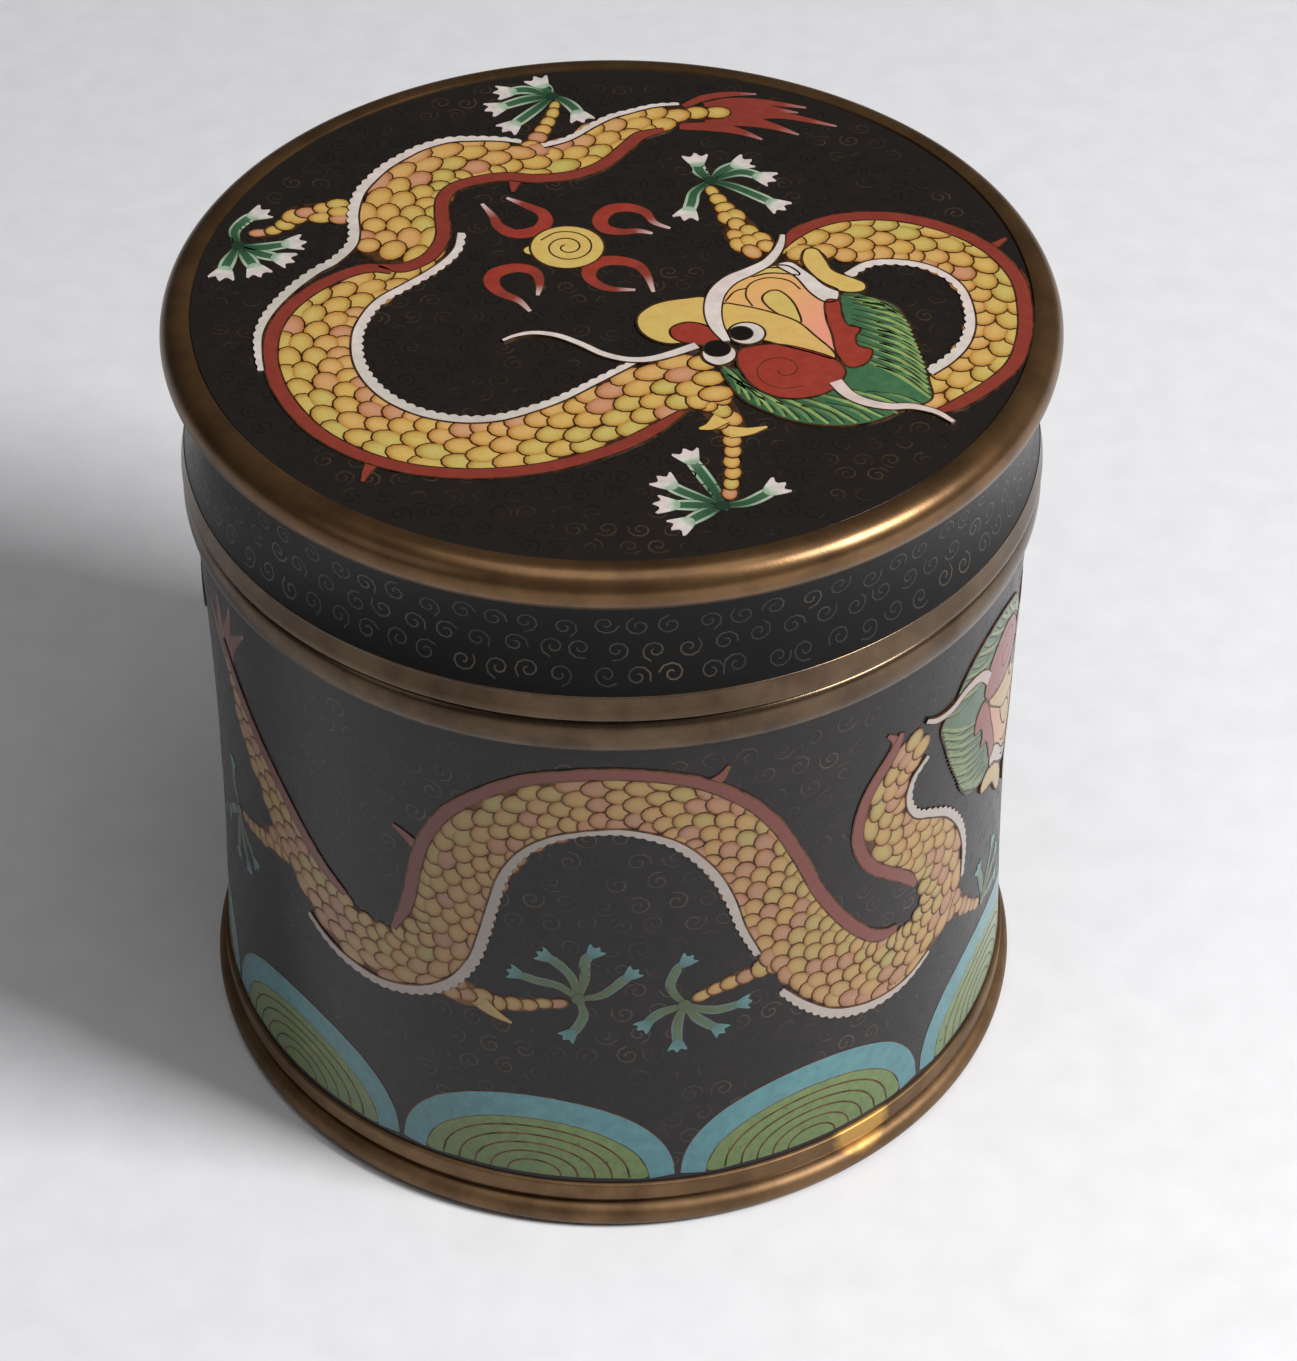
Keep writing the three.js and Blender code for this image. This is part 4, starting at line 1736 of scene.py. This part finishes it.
@dataclass
class DragonHead:
    """A dragon's head in profile with its mane, as drawn on the lid, mm. The front whisker is
    drawn through its first points, as many as told."""

    whisker_points: int = 10

    def draw(self, drawing: Drawing, base: float = 26) -> None:
        """Draws mane, face, snout, eyes and whiskers, from below up."""
        self.mane(drawing, base)
        self.face(drawing, base + 6)
        self.snout(drawing, base + 8)
        self.eyes(drawing, base + 12)
        self.whiskers(drawing, base + 15)

    def mane(self, drawing: Drawing, level: float) -> None:
        """Draws the green mane with its pale locks."""
        drawing.patch(
            Cell.GREEN,
            (
                (25.5, 0), (28.5, -0.5), (31, -2), (32.3, -4.5), (32.8, -7.5), (33.6, -12),
                (34.1, -16), (34.1, -19.5), (31, -21.3), (29.3, -22.6), (26.5, -23.8),
                (23.5, -24.1), (20, -23.5), (17, -22), (14, -19.5), (12.5, -16.5), (11.8, -13.8),
                (14, -14), (18, -15), (23, -14), (24.5, -8)), level, (0.1, 0.5),
            ((14, -12), (32, -16)))
        self.locks(drawing, MANE_BACK, 22, ((-2.6, 0.8), (-5.0, 4.6)), level + 2)
        self.locks(drawing, MANE_FOOT, 15, ((-5.6, 2.2), (-1.6, 4.0)), level + 2)

    def locks(self, drawing: Drawing, edge: Points, count: int, roots: tuple[Pair, Pair],
              level: float) -> None:
        """Draws locks of hair that end along an edge: each a thin wire and a pale stroke.

        Args:
            drawing: the picture to draw in.
            edge: x and y along the mane's edge.
            count: how many locks.
            roots: the way from tip to root of the first and of the last lock, mm.
            level: the locks' level.
        """
        tips = smooth_path(np.array(edge, float), 0.3)
        tips = tips[np.linspace(0, len(tips) - 1, count).round().astype(int)]
        toward = np.linspace(roots[0], roots[1], count)
        for number, (tip, root) in enumerate(zip(tips, toward)):
            bend = np.array([root[1], -root[0]]) * 0.12
            reach = root * (1.9 if number % 2 else 1.1)
            line = tuple(map(tuple, np.stack([tip + reach, tip + reach * 0.45 + bend, tip])))
            shade = (0.3, 0.85, 0.9) if number % 2 else (0.25, 0.6, 0.75)
            drawing.stroke(Cell.GREEN, tapered(line, (0.2, 0.5, 0.3)), level, shade)
            beside = tuple((x + 0.32, y + 0.22) for x, y in line)
            drawing.wire(beside, level - 0.4, 0.15)

    def face(self, drawing: Drawing, level: float) -> None:
        """Draws the cells of cheek, forehead, horn and ear."""
        drawing.patch(
            Cell.PEACH,
            (
                (12.2, -2), (13, 1), (15, 3.6), (17.8, 5), (20.5, 4), (22.5, 1.4), (23.6, -2),
                (24.2, -8), (24.6, -11.6), (21, -9), (16, -4.6)), level, (0.15, 1.0),
            ((14, 0), (24, -6)))
        drawing.patch(
            Cell.SCALE,
            (
                (16.6, -1.2), (17.2, 0.3), (18.4, 0.6), (19.6, -0.8), (20.4, -3), (20.6, -5.6),
                (18, -3.6)), level + 1, (0.15, 0.15))
        drawing.patch(
            Cell.SCALE, ((15.4, 3.2), (17, 5), (19.5, 5.4), (21, 3.6), (19.4, 3.8), (17.4, 3.9)),
            level + 1, (0.2, 0.2))
        drawing.wire(
            ((15.5, -2.4), (14.8, -0.4), (15.3, 1.8), (17.2, 3), (19.6, 2.5), (20.9, 0.8)),
            level + 2, 0.22)
        drawing.wire(((12.5, -1.5), (13.6, 0.4), (14.9, 1)), level + 2, 0.22)
        drawing.patch(
            Cell.WHITE,
            (
                (18.4, 5.4), (20, 6.1), (21.6, 4.4), (23.6, 1.9), (25.1, 0.6), (24.9, -1.2),
                (23.5, -1.6), (21.9, 0.2), (20.4, 3.2)), level + 2, (0.5, 0.5))
        drawing.patch(
            Cell.SCALE,
            (
                (21.3, 7), (21.8, 8.6), (23.1, 8.5), (24, 6.3), (24.7, 4.4), (26.6, 3.1),
                (28.1, 1.9), (27.9, 0.5), (26, 0.2), (23.9, 1.3), (22.4, 3.5), (21.5, 5.4)),
            level + 3, (0.25, 0.25))
        drawing.patch(
            Cell.RED,
            (
                (23.6, -1.4), (25.1, -1.5), (25.3, -3.8), (25.8, -5.9), (27.2, -6.6), (26.6, -8.1),
                (26.8, -9.8), (28.3, -10.6), (27.5, -13), (25.6, -13.7), (24.4, -11.4), (24, -7.7),
                (23.5, -4.6)), level + 3, (0.15, 0.15))
        drawing.patch(
            Cell.SCALE,
            (
                (12.2, -2), (14, -2.2), (17, -3.3), (20.2, -5.2), (22.2, -8), (24, -10.8),
                (24, -12.2), (21.5, -11), (18.5, -9.7), (16, -8.6), (13, -7.6), (12, -5)),
            level + 3, (0.3, 0.45), ((12, -3), (23, -11)))
        drawing.patch(
            Cell.RED,
            (
                (13.6, -11), (15.4, -9.8), (18, -9.5), (21, -10.4), (24.1, -12.2), (25.2, -14.5),
                (24.4, -16.6), (23.4, -18), (21, -19.2), (18, -19.2), (15.4, -17.4), (13.8, -14.2)),
            level + 4, (0.05, 0.25), ((15, -12), (24, -17)))
        drawing.wire(spiral((18.4, -14.2), 0.5, 3.6, 1.3, 200), level + 4.6, 0.12)

    def snout(self, drawing: Drawing, level: float) -> None:
        """Draws the snout, the nose and the long pale brow."""
        drawing.patch(
            Cell.SCALE,
            (
                (10.6, -1), (8, -0.9), (5, -1.8), (3.2, -3.5), (2.7, -5.2), (3.1, -7), (4.4, -8.6),
                (6.5, -9.4), (9, -8.6), (11.4, -6)), level, (0.2, 0.3), ((4, -6), (11, -3)))
        drawing.patch(
            Cell.RED,
            (
                (7, -5.9), (8.6, -5.4), (10.5, -6.2), (12.4, -8.8), (11.6, -9.7), (8.5, -9.4),
                (6.8, -8.5), (6.3, -7)), level + 2, (0.1, 0.1))
        brow = (
            (19.3, 11.4, 0.5), (19, 9.5, 0.8), (18.3, 7.6, 1.0), (17.2, 5.8, 1.2), (15.3, 4.2, 1.4),
            (13.1, 2.5, 1.6), (11.6, 0, 1.8), (11.1, -3, 1.8), (11.4, -6, 1.5), (12.5, -8.9, 0.8))
        drawing.stroke(Cell.WHITE, brow, level + 6, (0.2, 0.7, 0.4), fence=0.2)

    def eyes(self, drawing: Drawing, level: float) -> None:
        """Draws both eyes: a white ring with a pupil, and the far one as a crescent."""
        drawing.patch(Cell.WHITE, circle((14.7, -7.5), 2.05), level, (0.3, 0.3))
        drawing.patch(Cell.PUPIL, circle((14.1, -7.5), 1.3), level + 2, fence=0.14)
        drawing.patch(
            Cell.WHITE,
            (
                (9.8, -10.6), (10, -12.4), (11.5, -13.4), (13.1, -12.5), (13.5, -10.9),
                (12.6, -9.6), (11, -9.4)), level, (0.3, 0.3))
        drawing.patch(Cell.PUPIL, circle((11.4, -10.3), 1.5), level + 2, fence=0.14)

    def whiskers(self, drawing: Drawing, level: float) -> None:
        """Draws the two long whiskers."""
        behind = (
            (24, -16.3), (25.2, -18.5), (27, -20), (29.5, -20.8), (32, -20.8), (34.5, -21.8),
            (36.2, -23.5))
        ahead = (
            (9.2, -9.7), (6.5, -11.2), (4, -12.2), (1.5, -12.2), (-1, -11.2), (-3.5, -9.3),
            (-6, -7.8), (-8.5, -7.3), (-10.5, -7.8), (-11.9, -8.7))
        near = ahead[: self.whisker_points]
        drawing.stroke(
            Cell.WHITE, tapered(behind, (1.5, 1.2, 0.9, 0.5)), level, (0.9, 0.8), fence=0.14)
        drawing.stroke(
            Cell.WHITE, tapered(near, (1.1, 0.8, 0.7, 0.35)), level, (0.3, 0.6), fence=0.14)


@dataclass
class FlamingPearl:
    """The pearl that the dragon chases: a golden disc with a spiral and four licks of flame."""

    centre: Pair = (-5, 9.3)
    radius: float = 4.2
    licks: tuple[Points, ...] = (
        (
            (-12, 19.2), (-10, 17.8), (-8, 16.3), (-7.5, 14.5), (-8.5, 12.6), (-11, 12),
            (-12.8, 13.5), (-13.5, 15.5), (-14.8, 18)),
        (
            (4.6, 12), (3, 12.5), (1, 12.3), (-0.8, 13), (-1.3, 14.8), (-0.3, 16.7), (1.8, 17.2),
            (3.8, 16.2), (4.8, 14.2), (6.6, 13)),
        (
            (-8.2, 0), (-8, 2.5), (-8.7, 4.6), (-10.8, 5.3), (-13, 4.2), (-13.3, 2.2), (-12.3, 0.5),
            (-10.3, -1), (-9, -3)),
        (
            (2.6, 1), (-0.4, 1.3), (-2.2, 2.8), (-2.5, 4.8), (-1.3, 6.4), (1, 6.6), (3, 5.6),
            (4, 3.5), (4.6, 0.6)))

    def draw(self, drawing: Drawing, level: float = 4) -> None:
        """Draws the disc, its spiral and the licks, red in the middle and pale at both ends."""
        for lick in self.licks:
            drawing.stroke(
                Cell.RED, tapered(lick, (0.4, 1.1, 1.6, 1.8, 1.6, 1.0, 0.4)), level,
                (1.0, 0.4, 0.15, 0.1, 0.15, 0.6, 1.0), fence=0.12)
        side = (self.centre[0] - self.radius + 0.1, self.centre[1] - 0.6)
        drawing.patch(Cell.SCALE, circle(side, 0.9), level, (0.2, 0.2))
        drawing.patch(Cell.SCALE, circle(self.centre, self.radius), level + 2, (0.22, 0.22))
        drawing.wire(spiral(self.centre, 0.5, self.radius - 0.9, 2.1, 120), level + 4, 0.2)


@dataclass
class CloudGround:
    """Small spirals of bare wire that hold the black glass, scattered in staggered rows."""

    pitch: float = 3.3
    reach: float = 1.3
    width: float = 0.2
    spans: int = 13
    turns: float = 1.35
    core: float = 0.25
    proud: float = 0.012
    root: float = 0.06

    def draw(self, drawing: Drawing, low: Pair, high: Pair,
             rng: np.random.Generator, disc: float = 0.0) -> None:
        """Draws the spirals at once: point j of each lies at radius core + (reach - core) j / n
        and angle start + 2 pi turns j / n, turned either way round.

        Args:
            drawing: the picture to draw in.
            low: lowest x and y.
            high: highest x and y.
            rng: the source of their turns and small shifts.
            disc: if not 0, only spirals within this radius are kept.
        """
        columns = np.arange(low[0], high[0] - self.pitch / 2, self.pitch)
        rows = np.arange(low[1] + 0.25 * self.pitch, high[1], self.pitch * 0.87)
        x, y = np.meshgrid(columns, rows)
        x = x + (np.arange(len(rows)) % 2)[:, None] * self.pitch / 2
        centres = np.stack([x.ravel(), y.ravel()], -1) + rng.normal(0, 0.22, (x.size, 2))
        inside = (centres[:, 1] > low[1]) & (centres[:, 1] < high[1])
        if disc:
            inside &= np.hypot(centres[:, 0], centres[:, 1]) < disc
        centres = centres[inside]
        count = len(centres)
        share = np.linspace(0, 1, self.spans)
        start = rng.uniform(0, 2 * math.pi, (count, 1))
        hand = rng.choice([-1.0, 1.0], (count, 1))
        angle = start + hand * share * self.turns * 2 * math.pi
        radius = self.core + (self.reach - self.core) * share
        side = np.stack([np.cos(angle), np.sin(angle)], -1)
        middle = centres[:, None] + side * radius[None, :, None]
        half = hand[..., None] * self.width / 2
        left = middle - side * half
        right = middle + side * half
        flat = np.stack([left, right, right, left], 2)
        lift = np.array([self.proud] * 2 + [-self.root] * 2)
        points = drawing.sheet.place(flat[..., 0], flat[..., 1], lift)
        faces = swept(points[0], wrap=True, ring=False)
        offset = np.arange(count)[:, None, None] * (self.spans * 4)
        parts = [(part[None] + offset).reshape(-1, part.shape[1]) for part in faces]
        drawing.heap(Cell.CLOUD).add(points, parts, 0.5, 1.0)


# The studio


@dataclass(frozen=True)
class Softbox:
    """A square studio light that looks at a point."""

    name: str
    place: Triple
    aim: Triple
    size: Pair
    power: float

    def build(self) -> None:
        """Hangs the light."""
        lamp = bpy.data.lights.new(self.name, "AREA")
        lamp.shape = "RECTANGLE"
        lamp.size, lamp.size_y = self.size
        lamp.energy = self.power
        light = bpy.data.objects.new(self.name, lamp)
        light.location = self.place
        toward = Vector(self.aim) - Vector(self.place)
        light.rotation_euler = toward.to_track_quat("-Z", "Y").to_euler()
        bpy.context.scene.collection.objects.link(light)


@dataclass(frozen=True)
class Studio:
    """Pale floor, soft lights, and the camera at the photograph's angle.

    The camera was fitted to the circles of the rims. Its turn is given as pitch below the
    horizon, yaw to the right and roll, in radians.
    """

    image: tuple[int, int] = (1297, 1361)
    focal_pixels: float = 3858.88
    place: Triple = (-0.0000065, -0.350, 0.3468)
    pitch: float = 0.71613
    yaw: float = 0.01219
    roll: float = 0.004995
    sensor: float = 36.0
    floor_radius: float = 5.0
    room: str = "#38383B"
    room_strength: float = 1.0
    softboxes: tuple[Softbox, ...] = (
        Softbox("overhead_softbox", (0.0, -0.2, 1.15), (0.0, 0.0, 0.05), (0.75, 0.75), 3.3),
        Softbox("key_softbox", (0.68, -0.29, 0.74), (0.0, 0.0, 0.05), (0.3, 0.3), 13.2),
        Softbox("fill_softbox", (-0.9, -0.7, 0.6), (0.0, 0.0, 0.05), (0.6, 0.6), 0.8))

    def camera(self) -> None:
        """Makes the camera: forward = (sin yaw cos pitch, cos yaw cos pitch, -sin pitch), its
        right and up then turned by the roll."""
        cos_pitch = math.cos(self.pitch)
        forward = Vector(
            (math.sin(self.yaw) * cos_pitch, math.cos(self.yaw) * cos_pitch, -math.sin(self.pitch)))
        level_right = forward.cross(Vector((0, 0, 1))).normalized()
        level_up = level_right.cross(forward)
        cos, sin = math.cos(self.roll), math.sin(self.roll)
        right = level_right * cos + level_up * sin
        up = level_up * cos - level_right * sin
        turn = Matrix((right, up, -forward)).transposed().to_4x4()
        lens = bpy.data.cameras.new("photo_camera")
        lens.sensor_width = self.sensor
        lens.lens = self.sensor * self.focal_pixels / max(self.image)
        lens.clip_start = 0.01
        camera = bpy.data.objects.new("photo_camera", lens)
        camera.matrix_world = Matrix.Translation(self.place) @ turn
        bpy.context.scene.collection.objects.link(camera)
        bpy.context.scene.camera = camera

    def floor(self) -> None:
        """Lays the floor: a disc r(k) = radius * k / 8 with its top at the foot's level."""
        rings = np.linspace(0, self.floor_radius / MM, 9)
        top = np.stack([rings[::-1], np.zeros(9)], -1)
        base = np.stack([rings, np.full(9, -20.0)], -1)
        floor = turned("studio_floor", np.concatenate([base, top]), PaintedBoard().material(), 96)

    def world(self) -> None:
        """Sets the room round the set: an even dim grey, which the black glass mirrors."""
        world = bpy.data.worlds.new("studio_room")
        world.use_nodes = True
        backdrop = world.node_tree.nodes["Background"]
        backdrop.inputs["Color"].default_value = linear(self.room)
        backdrop.inputs["Strength"].default_value = self.room_strength
        bpy.context.scene.world = world

    def build(self) -> None:
        """Sets up floor, lights, room and camera."""
        self.camera()
        self.floor()
        self.world()
        for softbox in self.softboxes:
            softbox.build()
        bpy.context.scene.view_settings.view_transform = "Standard"


def cell_finishes() -> dict[Cell, Material]:
    """Makes the material of each filling."""
    return {
        Cell.WHITE: WHITE.material(), Cell.RED: RED.material(), Cell.SCALE: SCALE.material(),
        Cell.PEACH: PEACH.material(), Cell.GREEN: GREEN.material(), Cell.CLAW: CLAW.material(),
        Cell.PUPIL: PUPIL.material(), Cell.WAVE_BLUE: WAVE_BLUE.material(),
        Cell.WAVE_GREEN: WAVE_GREEN.material(), Cell.WIRE: WIRE.material(),
        Cell.CLOUD: CLOUD_WIRE.material()}


def draw_lid(finishes: dict[Cell, Material]) -> None:
    """Draws the lid's picture: cloud wires, pearl, dragon."""
    rng = np.random.default_rng(SEED)
    drawing = Drawing(LidPlane(Girth.of("lid_top_enamel").top))
    reach = LidTopEnamel().bore_of_bead - 1.6
    CloudGround().draw(drawing, (-reach, -reach), (reach, reach), rng, disc=reach)
    FlamingPearl().draw(drawing)
    LID_DRAGON.draw(drawing, ScaleCoat(), rng)
    DragonHead().draw(drawing)
    drawing.make("lid_picture", Slot.TOP, finishes)


def blend(colour: str, other: str, share: float) -> str:
    """Mixes two sRGB hex colours, channel by channel."""
    pairs = zip(bytes.fromhex(colour[1:]), bytes.fromhex(other[1:]))
    return "#" + "".join(f"{round(a + (b - a) * share):02X}" for a, b in pairs)


def shaded_for_wall(finish: VitreousEnamel) -> VitreousEnamel:
    """Gives the same glass darkened for the wall, its colours mixed 30 percent towards a dark
    brown: a painted shade.
    """
    stops = tuple((place, blend(colour, "#3E3630", 0.3)) for place, colour in finish.stops)
    return replace(finish, name=finish.name + "_side", stops=stops)


def draw_wall(finishes: dict[Cell, Material], side: CovedSide) -> None:
    """Draws the wall's picture: cloud wires, waves, and two dragons that each chase a pearl."""
    rng = np.random.default_rng(SEED + 1)
    drawing = Drawing(WallWrap(side, WRAP_RADIUS))
    clouds = CloudGround(pitch=3.9, reach=1.5)
    clouds.draw(drawing, (-GIRTH / 2, 9), (GIRTH / 2, 73), rng)
    WaveRow().draw(drawing, 3)
    for along in (0, GIRTH / 2):
        shifted = drawing.posed(Pose(to=(along, 0)))
        coat = ScaleCoat(pitch=2.05, spread=2.35, half_length=1.5, half_breadth=1.16,
                         narrow=2.9, inset=0.8, blush=0.2)
        SIDE_DRAGON.draw(shifted, coat, rng)
        head = replace(SIDE_HEAD, to=(SIDE_HEAD.to[0] + along, SIDE_HEAD.to[1]))
        DragonHead(whisker_points=7).draw(drawing.posed(head))
        pearl = Pose(centre=(-5, 9.3), to=(79.5 + along, 37), scale=0.68)
        FlamingPearl().draw(drawing.posed(pearl))
    drawing.make("side_picture", Slot.SIDE, finishes)


def draw_band(finishes: dict[Cell, Material], side: CovedSide) -> None:
    """Draws the cloud wires of the lid's band."""
    rng = np.random.default_rng(SEED + 2)
    drawing = Drawing(WallWrap(side, WRAP_RADIUS))
    clouds = CloudGround(pitch=3.7, reach=1.45)
    clouds.draw(drawing, (-GIRTH / 2, 83.6), (GIRTH / 2, 92.8), rng)
    drawing.make("band_picture", Slot.SIDE, finishes)


def corners(box: tuple[Vector, Vector]) -> list[list[float]]:
    """Turns a box into plain lists."""
    return [list(corner) for corner in box]


def main() -> None:
    """Builds the box piece by piece, then the studio."""
    logging.basicConfig(level=logging.INFO, format="%(name)s: %(message)s")
    Studio().build()
    body_side = CovedSide.of("body_enamel")
    lid_side = CovedSide.of("lid_side_enamel")
    dress(FootRing().build(), Slot.BRONZE, "foot_ring")
    dress(CopperCup().build(body_side), Slot.COPPER, "cup")
    dress(BodyEnamel().build(body_side), Slot.SIDE, "body_enamel")
    dress(MouthRing().build(), Slot.BRONZE, "mouth_ring")
    dress(LidRing().build(), Slot.BRONZE, "lid_ring")
    dress(LidShell().build(), Slot.COPPER, "lid_shell")
    dress(LidSideEnamel().build(lid_side), Slot.SIDE, "lid_side_enamel")
    dress(LidBead().build(), Slot.BRONZE, "lid_bead")
    dress(LidTopEnamel().build(), Slot.TOP, "lid_top_enamel")
    finishes = cell_finishes()
    draw_lid(finishes)
    # The wall's scale, white, red, peach and green enamels are darker copies of the lid's: a
    # painted shade.
    wall_finishes = {
        **finishes, Cell.CLAW: SEA_CLAW.material(), Cell.SCALE: shaded_for_wall(SCALE).material(),
        Cell.WHITE: shaded_for_wall(WHITE).material(), Cell.RED: shaded_for_wall(RED).material(),
        Cell.PEACH: shaded_for_wall(PEACH).material(), Cell.GREEN: shaded_for_wall(GREEN).material()}
    draw_wall(wall_finishes, body_side)
    draw_band(finishes, lid_side)


if __name__ == "__main__":
    main()
